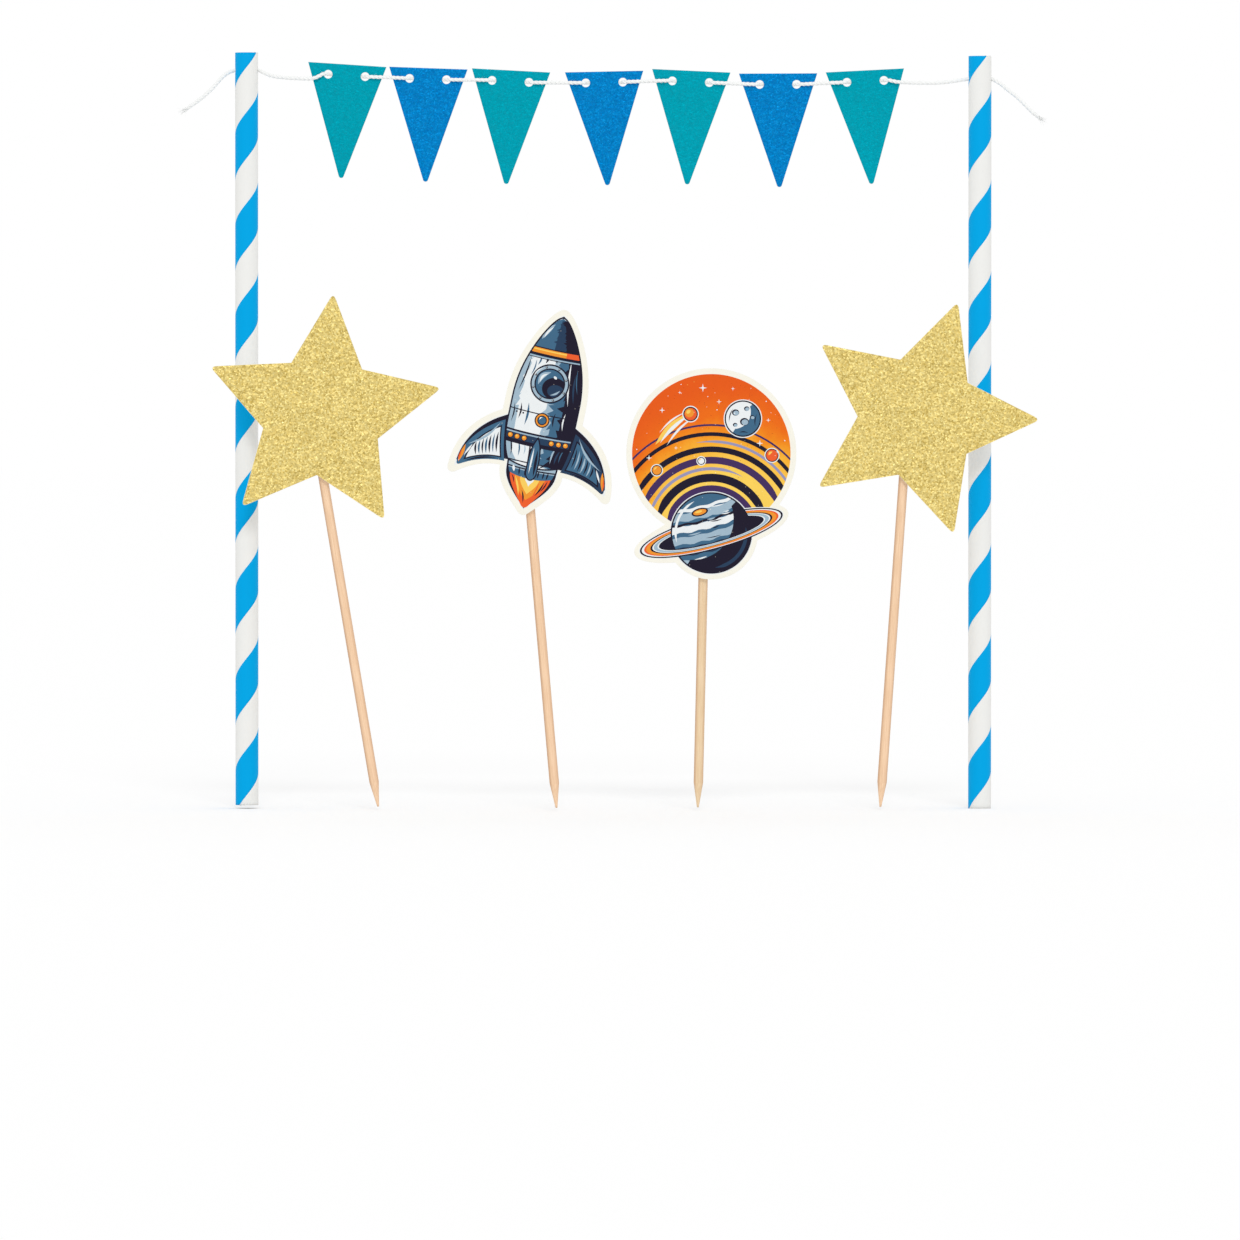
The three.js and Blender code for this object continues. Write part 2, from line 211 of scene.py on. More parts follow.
def straw_mesh(side):
    """The outer strip as a grid whose rows climb with the stripe, from one cut end to the other."""
    half = straw_rows // 2
    levels = [0.0, straw_seam_width / 2, straw_seam_width]
    levels += [row * stripe_width / half for row in range(1, half)]
    levels += [stripe_width + row * (straw_lead - stripe_width) / half for row in range(half)]
    radii = [straw_radius, straw_radius - straw_seam_depth] + [straw_radius] * (len(levels) - 2)
    bottom = -straw_depth[side]
    top = bottom + straw_length
    turns_below = math.ceil((stripe_start[side] - bottom) / straw_lead) + 1
    turns = turns_below + math.ceil((top - stripe_start[side]) / straw_lead) + 1
    mesh = bmesh.new()
    grid = []
    blue = []
    for turn in range(turns):
        for level, radius in zip(levels, radii):
            height = stripe_start[side] + (turn - turns_below) * straw_lead + level
            blue.append(level < stripe_width)
            ring = []
            for column in range(straw_columns):
                share = column / straw_columns
                # Column 0 stands at the front, where the stripe's start is given.
                angle = 2 * math.pi * share - math.pi / 2
                place = (radius * math.cos(angle), radius * math.sin(angle), height + straw_lead * share)
                ring.append(mesh.verts.new(place))
            grid.append(ring)
    for row in range(len(grid) - len(levels) - 1):
        for column in range(straw_columns):
            after = (column + 1) % straw_columns
            climbed = len(levels) if after == 0 else 0
            corners = [grid[row][column], grid[row + climbed][after]]
            corners += [grid[row + 1 + climbed][after], grid[row + 1][column]]
            face = mesh.faces.new(corners)
            face.material_index = 1 if blue[row] else 0
            face.smooth = True
    for level, outwards in ((bottom, -1), (top, 1)):
        everything = mesh.verts[:] + mesh.edges[:] + mesh.faces[:]
        cut = {"plane_co": (0, 0, level), "plane_no": (0, 0, outwards)}
        bmesh.ops.bisect_plane(mesh, geom=everything, clear_outer=True, **cut)
    bmesh.ops.delete(mesh, geom=[v for v in mesh.verts if not v.link_faces], context="VERTS")
    return taken_from(mesh, "straw " + side)


def twine_drill(height):
    """The tool that makes the twine's hole through both walls of a straw."""
    mesh = bmesh.new()
    along = Matrix.Translation((0, 0, height)) @ Matrix.Rotation(math.pi / 2, 4, "Y")
    hole = {"radius1": twine_hole_radius, "radius2": twine_hole_radius, "depth": 20}
    bmesh.ops.create_cone(mesh, cap_ends=True, segments=24, matrix=along, **hole)
    return taken_from(mesh, "twine drill")


for side, way in (("left", -1), ("right", 1)):
    where = (way * straw_apart / 2, 0, 0)
    straw = new_piece("straw_paper_" + side, straw_mesh(side), (straw_white, straw_blue, straw_inside), where)
    drill = new_piece("twine_drill", twine_drill(twine_height[side]), location=where)
    walls = straw.modifiers.new("wall", "SOLIDIFY")
    walls.thickness = straw_wall * 0.001
    walls.offset = -1
    walls.material_offset = 2
    walls.material_offset_rim = 2
    hole = straw.modifiers.new("twine hole", "BOOLEAN")
    hole.object = drill
    hole.operation = "DIFFERENCE"
    keep_result(straw)
    bpy.data.objects.remove(drill)
    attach(straw, "bunting")
    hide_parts("straw_" + side)


# Pennants
# Seven triangles cut from glitter card, teal and blue in turn, with two punched holes each. The card is white
# inside and behind, and its face is fine glitter in a coloured film. Each hangs a little askew and curls.

card_thickness = 0.35
card_edge_round = 0.04
pennant_width = 20.6
pennant_length = 29.8
pennant_tip_radius = 0.7
pennant_tip_shift = 0.25
pennant_tip_steps = 10
pennant_hole_apart = 9.7
pennant_hole_drop = 2.9
pennant_hole_radius = 1.1
pennant_flake = 0.42
pennant_pitch = 22.65
pennant_row_middle = -2.25
pennant_shift = [0.4, -0.95, -2.0, -0.1, -0.1, 0.1, 0.3]
pennant_height = [163.55, 162.6, 162.0, 161.7, 161.9, 161.2, 162.0]
pennant_tilt = [3.7, 2.0, 3.0, -1.2, 2.6, -0.2, -2.9]
pennant_curl = [-0.35, 0.2, -0.15, -0.3, 0.25, -0.2, 0.3]
pennant_x = [pennant_row_middle + (i - 3) * pennant_pitch + shift for i, shift in enumerate(pennant_shift)]


def place_cells(tree, where, scale):
    """Uneven cells: each one's own colour, and the distance from its middle."""
    return place_node(tree, "TexVoronoi", {"Vector": where, "Scale": scale})


def scattered(tree, where, scale, chosen, size, most=1.0):
    """A mask of soft spots, in the cells whose own random number passes the range of those chosen."""
    cells = place_cells(tree, where, scale)
    number = place_node(tree, "SeparateColor", {0: cells["Color"]})[0]
    picked = place_range(tree, number, *chosen, 0.0, most)
    return place_math(tree, "MULTIPLY", picked, place_range(tree, cells["Distance"], *size, 1.0, 0.0))


def glitter_group():
    """Glitter flakes in a film, each with its own tilt and polish, and with painted glints and painted shade.
    """
    colours = {"Film": (0.5, 0.5, 0.5, 1), "Bright": (1, 1, 1, 1), "Deep": (0, 0, 0, 1)}
    group, given = new_group("glitter", **colours, Contrast=0.5, Tilt=0.3, Flakes=3.0)
    where = millimetres(group)
    flake = place_cells(group, where, given["Flakes"])["Color"]
    red, green, blue = place_node(group, "SeparateColor", {0: flake})
    painted_glints = scattered(group, where, 1.25, (0.6, 0.75), (0.16, 0.28))
    # Some flakes are painted lighter as glints, others painted darker as shaded facets, and scattered spots
    # are painted glints: colour in place of the light each flake would catch.
    lights = (
        (place_range(group, red, 0.45, 1.0), "Bright"), (place_range(group, green, 0.5, 1.0), "Deep"),
        (painted_glints, "Bright"),
    )
    tint = given["Film"]
    for mask, target in lights:
        tint = place_mix(group, place_math(group, "MULTIPLY", mask, given["Contrast"]), tint, given[target])
    shade = place_range(group, place_noise(group, where, 0.9, 2.0), 0.3, 0.7, 0.965, 1.035)
    offset = place_math(group, "SUBTRACT", flake, (0.5, 0.5, 0.5), kind="VectorMath")
    surface = place_node(group, "NewGeometry")["Normal"]
    leaning = place_math(group, "MULTIPLY_ADD", offset, given["Tilt"], surface, kind="VectorMath")
    return put_out(
        group,
        Color=shaded(group, tint, shade),
        Roughness=place_range(group, blue, 0.0, 1.0, 0.28, 0.62),
        Metallic=place_range(group, red, 0.1, 0.5, 0.7, 0.95),
        Normal=place_math(group, "NORMALIZE", leaning, kind="VectorMath"),
    )


glitter = glitter_group()


def glitter_material(name, **terms):
    """Glitter card, from what the glitter group takes. Its flakes are counted along a millimetre."""
    material, tree, shader = new_material(name, 0.4, 0.15)
    face = place_node(tree, "Group", terms, node_tree=glitter)
    feed(tree, shader, {"Base Color": face["Color"]})
    feed(tree, shader, {socket: face[socket] for socket in ("Roughness", "Metallic", "Normal")})
    return material


# Each film with the colours painted on its glinting flakes and on its shaded flakes.
teal_glitter = glitter_material(
    "teal glitter", Film=colour(0, 149, 167), Bright=colour(8, 172, 186), Deep=colour(0, 132, 152),
    Contrast=0.18, Tilt=0.08, Flakes=3.6,
)
blue_glitter = glitter_material(
    "blue glitter", Film=colour(0, 120, 185), Bright=colour(22, 150, 214), Deep=colour(0, 96, 166),
    Contrast=0.45, Tilt=0.22, Flakes=3.0,
)
card_core = paper_material("card white core", colour(246, 245, 240), 0.75, 1.2, 0.06)


def moved_inwards(points, distance):
    """An outline that runs anticlockwise, moved inwards by a distance."""
    moved = []
    for before, here, after in zip(points[-1:] + points[:-1], points, points[1:] + points[:1]):
        arriving = (here - before).normalized()
        leaving = (after - here).normalized()
        inwards = Vector((-arriving.y - leaving.y, arriving.x + leaving.x)).normalized()
        square = Vector((-leaving.y, leaving.x))
        moved.append(here + inwards * distance / max(inwards.dot(square), 0.3))
    return moved


def holds(outline, places):
    """For each place across and up a card, whether the outline goes round it."""
    inside = np.zeros(len(places), bool)
    across, up = places[:, 0], places[:, 1]
    for a, b in zip(outline, outline[1:] + outline[:1]):
        if a.y != b.y:
            passes = (a.y > up) != (b.y > up)
            inside ^= passes & (across < (b.x - a.x) * (up - a.y) / (b.y - a.y) + a.x)
    return inside


def flat_face(outline, holes, lines=(), grains=()):
    """Triangles that fill an outline round its holes and keep every line, and which points are grains."""
    points = []
    edges = []
    for ring in [outline, *holes, *lines]:
        start = len(points)
        points += ring
        edges += [(start + i, start + (i + 1) % len(ring)) for i in range(len(ring))]
    first_grain = len(points)
    points += grains
    corners, _, faces, sources, _, _ = delaunay_2d_cdt(points, edges, [], 0, 1e-6)
    middles = np.array([sum((corners[i] for i in face), Vector((0, 0))) / len(face) for face in faces])
    kept = holds(outline, middles)
    for hole in holes:
        kept &= ~holds(hole, middles)
    is_grain = [bool(source) and min(source) >= first_grain for source in sources]
    faces = [face for face, keep in zip(faces, kept) if keep]
    return corners, faces, middles[kept], is_grain


def grain_points(outline, holes, spacing, chance):
    """Places for the corners of glitter flakes, spread unevenly over a card's face, clear of its edges."""
    xs = [p.x for p in outline]
    zs = [p.y for p in outline]
    shake, row_height, edge_gap = spacing * 0.33, spacing * 0.87, spacing * 0.45
    places = []
    z = min(zs)
    row = 0
    while z < max(zs):
        x = min(xs) + (row % 2) * spacing / 2
        while x < max(xs):
            places.append((x + chance.uniform(-shake, shake), z + chance.uniform(-shake, shake)))
            x += spacing
        z += row_height
        row += 1
    places = np.array(places)
    kept = holds(moved_inwards(outline, edge_gap), places)
    for hole in holes:
        kept &= ~holds(moved_inwards(hole, -edge_gap), places)
    return [Vector(place) for place in places[kept]]


def faces_between(mesh, lower, upper):
    """The four-sided faces between two rings of as many corners."""
    after = [*range(1, len(lower)), 0]
    return [mesh.faces.new([lower[i], lower[j], upper[j], upper[i]]) for i, j in enumerate(after)]


def card_mesh(name, outline, holes=(), flake=0.0, roughness=0.0, seed=1, art=()):
    """A die-cut card with slot 0 on its face and slot 1 on its core and back. A flake size makes the face one
    of glitter, as rough as asked. A piece of art is its slot, its outline and the outline it stays in."""
    chance = random.Random(seed)
    half = card_thickness / 2
    middle = half - card_edge_round
    mesh = bmesh.new()
    rings = [list(outline)] + [list(hole) for hole in holes]
    ways = [1] + [-1] * len(holes)
    drawn_in = [moved_inwards(ring, way * card_edge_round) for ring, way in zip(rings, ways)]
    front, *front_holes = drawn_in
    grains = grain_points(front, front_holes, flake, chance) if flake else []
    corners, faces, middles, is_grain = flat_face(front, front_holes, [line for _, line, _ in art], grains)
    slots = np.zeros(len(faces), int)
    for slot, line, within in art:
        inside = holds(line, middles)
        if within is not None:
            inside &= holds(within, middles)
        slots[inside] = slot
    made = []
    for corner, loose in zip(corners, is_grain):
        raised = chance.uniform(-roughness, roughness) if loose else 0.0
        made.append(mesh.verts.new((corner.x, -half + raised, corner.y)))
    for face, slot in zip(faces, slots):
        mesh.faces.new([made[i] for i in face]).material_index = int(slot)
    corners, faces, _, _ = flat_face(front, front_holes)
    made = [mesh.verts.new((corner.x, half, corner.y)) for corner in corners]
    for face in faces:
        mesh.faces.new([made[i] for i in reversed(face)]).material_index = 1
    for ring, inner in zip(rings, drawn_in):
        levels = [(inner, -half), (ring, -middle), (ring, middle), (inner, half)]
        stacked = [[mesh.verts.new((p.x, y, p.y)) for p in points] for points, y in levels]
        for lower, upper in zip(stacked, stacked[1:]):
            for face in faces_between(mesh, upper, lower):
                face.material_index = 1
    bmesh.ops.remove_doubles(mesh, verts=mesh.verts[:], dist=1e-5)
    bmesh.ops.recalc_face_normals(mesh, faces=mesh.faces[:])
    return taken_from(mesh, name)


def oval(x, z, across, up=None, tilt=0.0, count=48):
    """An oval that runs anticlockwise, turned anticlockwise by a tilt in degrees."""
    up = across if up is None else up
    turn = math.radians(tilt)
    points = []
    for i in range(count):
        angle = 2 * math.pi * (i + 0.5) / count
        right, above = across * math.cos(angle), up * math.sin(angle)
        points.append(Vector((
            x + right * math.cos(turn) - above * math.sin(turn),
            z + right * math.sin(turn) + above * math.cos(turn),
        )))
    return points


def pennant_outline():
    """The triangle with its rounded tip, about the middle of the line through its holes."""
    top = pennant_hole_drop
    tip = top - pennant_length + pennant_tip_radius
    touches = []
    for across in (pennant_width / 2 + pennant_tip_shift, pennant_width / 2 - pennant_tip_shift):
        reach = math.hypot(across, top - tip)
        touches.append(math.atan2(top - tip, across) - math.acos(pennant_tip_radius / reach))
    points = [Vector((pennant_width / 2, top)), Vector((-pennant_width / 2, top))]
    for i in range(pennant_tip_steps + 1):
        angle = math.pi - touches[0] + (math.pi + sum(touches)) * i / pennant_tip_steps
        around = Vector((math.cos(angle), math.sin(angle))) * pennant_tip_radius
        points.append(around + Vector((pennant_tip_shift, tip)))
    return points


def curl_card(mesh, forwards, from_height, length):
    """Bends a card's lower part towards the front or, below zero, towards the back."""
    for v in mesh.vertices:
        below = max(0.0, from_height - v.co.z) / length
        v.co.y -= forwards * below * below


pennant_holes = [oval(way * pennant_hole_apart / 2, 0, pennant_hole_radius, count=24) for way in (-1, 1)]
looks = ((teal_glitter, 0.014, "glitter_teal"), (blue_glitter, 0.028, "glitter_blue"))
for i in range(7):
    name = f"pennant_{i + 1}"
    face, roughness, slot = looks[i % 2]
    mesh = card_mesh(name, pennant_outline(), pennant_holes, pennant_flake, roughness, i + 1)
    curl_card(mesh, pennant_curl[i], -2.0, pennant_length)
    place = (pennant_x[i], 0, pennant_height[i])
    pennant = new_piece("glitter_" + name, mesh, (face, card_core), place, pennant_tilt[i])
    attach(pennant, name)
    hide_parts(name)


# Twine
# One length of soft white cotton twine, three strands laid together, carries the pennants. It goes through
# the holes of both straws, dips behind each card between its two holes, and ends in a frayed tail each side.

strand_radius = 0.295
strand_offset = 0.22
strand_pitch = 3.4
strand_sides = 8
twine_step = 0.25
twine_curve_points = 33
twine_level = 0.975
span_forward = 1.56
fibre_slant = 1.6
hair_width = 0.03
hair_length = (0.4, 1.1)
hair_corners = (0.0, 2.1, 4.2)
hairs_per_mm = 3.6
hair_lean = 0.12
hair_root = 0.4
frayed_length = 2.4
frayed_hairs = 60
frayed_hair_length = (0.9, 2.2)


def beside_straw(side, way, steps):
    """Points by their distance right (1) or left (-1) of a straw's axis, forward of it and below its hole."""
    axis = straw_apart / 2 if side == "right" else -straw_apart / 2
    return [(axis + way * across, -forward, twine_height[side] - below) for across, forward, below in steps]


def twine_route():
    """The points that the twine passes, from the end of its left tail to the end of its right one."""
    route = beside_straw("left", -1, [
        (16.4, 2.6, 10.7), (14.4, 2.4, 9.3), (12.3, 2.1, 7.8), (10.2, 1.7, 6.0), (8.5, 1.2, 4.3),
        (7.04, 0.8, 2.6), (6.0, 0.4, 1.5), (4.9, 0.2, 0.7), (3.2, 0.0, 0.05),
    ])
    route += beside_straw("left", 1, [
        (0.0, 0.0, 0.0), (3.2, 0.0, 0.0), (4.4, 0.1 * span_forward, 0.6), (7.0, 0.4 * span_forward, 1.55),
        (10.2, 0.75 * span_forward, 1.95), (13.5, span_forward, 2.15), (17.5, span_forward, 2.15),
    ])
    steps = [(-1.1, -1.0), (-0.32, -0.55), (0.32, 0.55), (1.1, 1.0)]
    for x, z, tilt in zip(pennant_x, pennant_height, pennant_tilt):
        angle = math.radians(tilt)
        for hole in (-1, 1):
            for along, behind in steps:
                reach = hole * pennant_hole_apart / 2 + along
                depth = -hole * behind * twine_level
                route.append((x + reach * math.cos(angle), depth, z - reach * math.sin(angle)))
    route += beside_straw("right", -1, [
        (21.5, span_forward, 0.8), (15.5, span_forward, 1.05), (11.4, 0.75 * span_forward, 1.05),
        (8.5, 0.5 * span_forward, 0.8), (5.5, 0.2 * span_forward, 0.35), (3.2, 0.0, 0.0), (0.0, 0.0, 0.0),
    ])
    route += beside_straw("right", 1, [
        (3.2, 0.0, 0.05), (4.2, 0.1, 0.55), (5.33, 0.3, 1.25), (7.42, 0.8, 2.93), (9.5, 1.4, 4.6),
        (11.6, 1.8, 6.6), (13.7, 2.1, 8.75), (16.0, 2.3, 10.6),
    ])
    return [Vector(point) for point in route]


def smooth_path(points, step):
    """Evenly spaced points on one smooth curve through the given points."""
    knots = [0.0]
    for a, b in zip(points, points[1:]):
        knots.append(knots[-1] + math.sqrt((b - a).length))
    slopes = [(b - a) / (d - c) for a, b, c, d in zip(points, points[1:], knots, knots[1:])]
    gaps = [b - a for a, b in zip(knots, knots[1:])]
    turned = [slopes[0]]
    for i in range(1, len(slopes)):
        turned.append((slopes[i - 1] * gaps[i] + slopes[i] * gaps[i - 1]) / (gaps[i - 1] + gaps[i]))
    turned.append(slopes[-1])
    curve = []
    for i, gap in enumerate(gaps):
        leaving = points[i] + turned[i] * gap / 3
        arriving = points[i + 1] - turned[i + 1] * gap / 3
        curve += interpolate_bezier(points[i], leaving, arriving, points[i + 1], twine_curve_points)[:-1]
    curve = np.array([*curve, points[-1]])
    reached = np.concatenate([[0], np.cumsum(np.linalg.norm(np.diff(curve, axis=0), axis=1))])
    even = np.linspace(0, reached[-1], round(reached[-1] / step) + 1)
    return [Vector(p) for p in np.stack([np.interp(even, reached, curve[:, k]) for k in range(3)], axis=1)]


def carried_frames(path):
    """At each point of a path, two directions square to it, which don't twist along it, and its own."""
    ways = [(b - a).normalized() for a, b in zip(path, path[1:])]
    side = Vector((0, -1, 0))
    frames = []
    for way in [*ways, ways[-1]]:
        side = (side - way * side.dot(way)).normalized()
        frames.append((side, way.cross(side), way))
    return frames


def towards(side, up, angle):
    """The direction at an angle between two that are square to each other."""
    return side * math.cos(angle) + up * math.sin(angle)


def add_hair(mesh, start, way, bend, length, width):
    """One loose cotton fibre: a thin three-sided tube that bends and tapers to nearly nothing."""
    side = way.orthogonal().normalized()
    up = way.cross(side).normalized()
    rings = []
    for share in (0, 1 / 3, 2 / 3, 1):
        middle = start + way * length * share + bend * length * share * share
        wide = width * (1 - 0.8 * share) / 2
        rings.append([mesh.verts.new(middle + towards(side, up, angle) * wide) for angle in hair_corners])
    for lower, upper in zip(rings, rings[1:]):
        for face in faces_between(mesh, lower, upper):
            face.smooth = True


def add_strand(mesh, path, frames, strand, chance):
    """One of the twine's strands, which loosens and thins towards both ends, with places for its fibres."""
    fibre = mesh.loops.layers.uv["fibre"]
    last = len(path) - 1
    rings = []
    for i, (point, (side, up, _)) in enumerate(zip(path, frames)):
        along = i * twine_step
        loosened = max(0.0, 1 - min(along, (last - i) * twine_step) / frayed_length)
        out = towards(side, up, 2 * math.pi * (along / strand_pitch + strand / 3))
        middle = point + out * strand_offset * (1 + 0.5 * loosened)
        swell = 1 + 0.05 * math.sin(0.37 * i + 2.1 * strand) + chance.uniform(-0.03, 0.03)
        radius = strand_radius * swell * (1 - 0.55 * loosened)
        angles = [2 * math.pi * k / strand_sides for k in range(strand_sides)]
        rings.append([mesh.verts.new(middle + towards(side, up, angle) * radius) for angle in angles])
    for i, (lower, upper) in enumerate(zip(rings, rings[1:])):
        for k, face in enumerate(faces_between(mesh, lower, upper)):
            face.smooth = True
            for loop, (turn, row) in zip(face.loops, ((k, i), (k + 1, i), (k + 1, i + 1), (k, i + 1))):
                height = row * twine_step
                loop[fibre].uv = (turn / strand_sides * 2 - height / fibre_slant, height)
    mesh.faces.new(rings[0][::-1])
    mesh.faces.new(rings[-1])


def twine_mesh(path):
    """Three strands laid round each other, the fibres that stand off them, and the brushes at both ends."""
    chance = random.Random(12)
    mesh = bmesh.new()
    mesh.loops.layers.uv.new("fibre")
    frames = carried_frames(path)
    last = len(path) - 1
    for strand in range(3):
        add_strand(mesh, path, frames, strand, chance)
    for _ in range(round(hairs_per_mm * last * twine_step)):
        i = chance.randrange(4, last - 4)
        side, up, way = frames[i]
        out = towards(side, up, chance.uniform(0, 2 * math.pi))
        lean = way * chance.choice((-1, 1)) * chance.uniform(0.4, 1.3) + out * chance.uniform(0.35, 0.9)
        lean.normalize()
        bend = (side * chance.uniform(-1, 1) + up * chance.uniform(-1, 1) - out * 0.5) * 0.45
        length = chance.uniform(*hair_length)
        start = path[i] + out * hair_root
        tip = start + (lean + bend) * length
        by_pennant = abs(path[i].x - pennant_row_middle) < 3.6 * pennant_pitch
        depth = abs(path[i].y)
        # A fibre that leans towards a pennant is left off, because the pennant would swing through it.
        leans_away = depth > 0.85 * twine_level and tip.y * path[i].y > depth * (depth - hair_lean)
        if leans_away or not by_pennant:
            add_hair(mesh, start, lean, bend, length, hair_width)
    for i, outwards in ((0, -1), (last, 1)):
        side, up, way = frames[i]
        for _ in range(frayed_hairs):
            out = towards(side, up, chance.uniform(0, 2 * math.pi))
            start = path[i] + out * chance.uniform(0, 0.45) - way * outwards * chance.uniform(0, 1.4)
            lean = (way * outwards + out * chance.uniform(0.05, 0.55)).normalized()
            bend = out * chance.uniform(-0.3, 0.35)
            add_hair(mesh, start, lean, bend, chance.uniform(*frayed_hair_length), hair_width * 1.6)
    return taken_from(mesh, "twine")


def cotton_material():
    """Soft white cotton, whose fine fibres run round each strand."""
    material, tree, shader = new_material("white cotton", 0.9, 0.1)
    placed = place_node(tree, "UVMap", uv_map="fibre")["UV"]
    along = place_node(tree, "Mapping", {"Vector": placed, "Scale": (9.0, 0.9, 1.0)})["Vector"]
    fibres = place_noise(tree, along, 1.6, 4.0, 0.6)
    share = place_range(tree, fibres, 0.35, 0.65)
    tint = place_mix(tree, share, colour(245, 246, 245), colour(253, 254, 253))
    feed(tree, shader, {"Base Color": tint, "Normal": relief(tree, fibres, 0.04)})
    return material


path = smooth_path(twine_route(), twine_step)
twine = new_piece("twine", twine_mesh(path), [cotton_material()])
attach(twine, "bunting")
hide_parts("twine_tail_left", "twine_span", "twine_tail_right")


# Stars
# Two five-pointed stars die-cut from card with a coarse gold glitter face, plain white behind. Each is glued
# by a foam pad to its own pick, and leans a little its own way.

star_radius = 31.95
star_inner_radius = 15.8
star_point_cut = 1.9
star_curve_points = 9
star_flake = 0.5
star_roughness = 0.045
star_place = {"left": (-75.8, -17.0, 74.7), "right": (79.4, -17.0, 74.0)}
star_turn = {"left": 5.3, "right": 19.0}
star_curl = {"left": 0.5, "right": 0.35}
star_seed = {"left": 21, "right": 22}

# The film with the colours painted on its glinting flakes and on its shaded flakes.
gold_glitter = glitter_material(
    "gold glitter", Film=colour(216, 194, 119), Bright=colour(243, 227, 156), Deep=colour(174, 147, 64),
    Contrast=0.75, Tilt=0.38, Flakes=2.6,
)


def star_outline():
    """Five points round the star's middle, each rounded off by the cutting die."""
    corners = []
    for i in range(10):
        angle = math.radians(90 + 36 * i)
        reach = star_radius if i % 2 == 0 else star_inner_radius
        corners.append(Vector((math.cos(angle), math.sin(angle))) * reach)
    points = []
    for i, corner in enumerate(corners):
        if i % 2:
            points.append(corner)
            continue
        before = corner + (corners[i - 1] - corner).normalized() * star_point_cut
        after = corner + (corners[i + 1] - corner).normalized() * star_point_cut
        guides = before.lerp(corner, 2 / 3), after.lerp(corner, 2 / 3)
        points += interpolate_bezier(before, *guides, after, star_curve_points)
    return points


for side in ("left", "right"):
    name = "star_" + side
    mesh = card_mesh(name, star_outline(), (), star_flake, star_roughness, star_seed[side])
    curl_card(mesh, star_curl[side], -12.0, star_radius)
    star = new_piece("glitter_" + name, mesh, (gold_glitter, card_core), star_place[side], star_turn[side])
    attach(star, name)
    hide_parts(name + "_card")


# Rocket card
# A rocket printed on smooth white card and cut round with a narrow cream border. The print is drawn in dark
# lines with pen strokes for the shading, in ink that lies a little unevenly on the card.

card_border = 1.5
light_line = 0.24
curve_points = 13
stroke_steps = 8
belt_reach = 14.0
belt_steps = 20
rocket_place = (-18.0, -26.0, 75.5)
rocket_turn = 12.0


def print_group():
    """Printed ink: faintly mottled, with a few specks that the ink has missed."""
    group, given = new_group("print", Ink=(1, 1, 1, 1), Bare=(1, 1, 1, 1), Wear=1.0)
    where = millimetres(group)
    grain = place_noise(group, where, 4.5, 4.0, 0.6)
    spots = scattered(group, where, 0.9, (0.8, 0.84), (0.06, 0.12))
    missed = place_math(group, "MULTIPLY", spots, given["Wear"])
    uneven = place_math(group, "MULTIPLY_ADD", grain, 0.09, 0.925)
    shade = place_math(group, "MULTIPLY_ADD", place_noise(group, where, 0.35, 2.0), 0.06, uneven)
    return put_out(
        group,
        Color=place_mix(group, missed, shaded(group, given["Ink"], shade), given["Bare"]),
        Roughness=place_range(group, grain, 0.2, 0.8, 0.34, 0.5),
        Height=grain,
    )


printed = print_group()


def print_on(tree, shader, tint, wear):
    """Ink of one tint, or of one that other nodes give, on a material's shader."""
    terms = {"Ink": tint, "Bare": colour(250, 244, 226), "Wear": wear}
    ink = place_node(tree, "Group", terms, node_tree=printed)
    feed(tree, shader, {"Base Color": ink["Color"], "Roughness": ink["Roughness"]})
    feed(tree, shader, {"Normal": relief(tree, ink["Height"], 0.012)})


inks = {}
for name, tint, wear, specular in (
    ("cream", (248, 245, 232), 0.0, 0.2), ("navy", (26, 21, 41), 0.35, 0.1),
    ("slate", (58, 101, 132), 0.6, 0.2), ("deep slate", (36, 60, 88), 0.5, 0.12),
    ("steel", (160, 184, 200), 1.0, 0.2), ("pale", (236, 240, 241), 0.0, 0.2),
    ("orange", (240, 148, 40), 1.0, 0.2), ("yellow", (250, 206, 92), 0.6, 0.2),
    ("ember", (236, 92, 36), 1.0, 0.2), ("lavender", (150, 148, 182), 1.0, 0.2),
    ("plum", (66, 44, 92), 0.5, 0.12),
):
    inks[name], tree, shader = new_material(name + " ink", 0.42, specular)
    print_on(tree, shader, colour(*tint), wear)


def drawn(start, *steps):
    """Points on a line from a start. A step is the next corner, or two guides and the end of a curve."""
    points = [Vector(start)]
    for step in steps:
        if len(step) == 2:
            points.append(Vector(step))
        else:
            guides = Vector(step[:2]), Vector(step[2:4]), Vector(step[4:])
            points += interpolate_bezier(points[-1], *guides, curve_points)[1:]
    return points


def mirrored(points):
    """The same outline on the card's other half, still anticlockwise."""
    return [Vector((-p.x, p.y)) for p in reversed(points)]


def with_mirror(half):
    """A whole outline, anticlockwise, from its right half, which is drawn from the top down."""
    return [Vector((-p.x, p.y)) for p in half] + [p for p in reversed(half) if p.x > 1e-6]


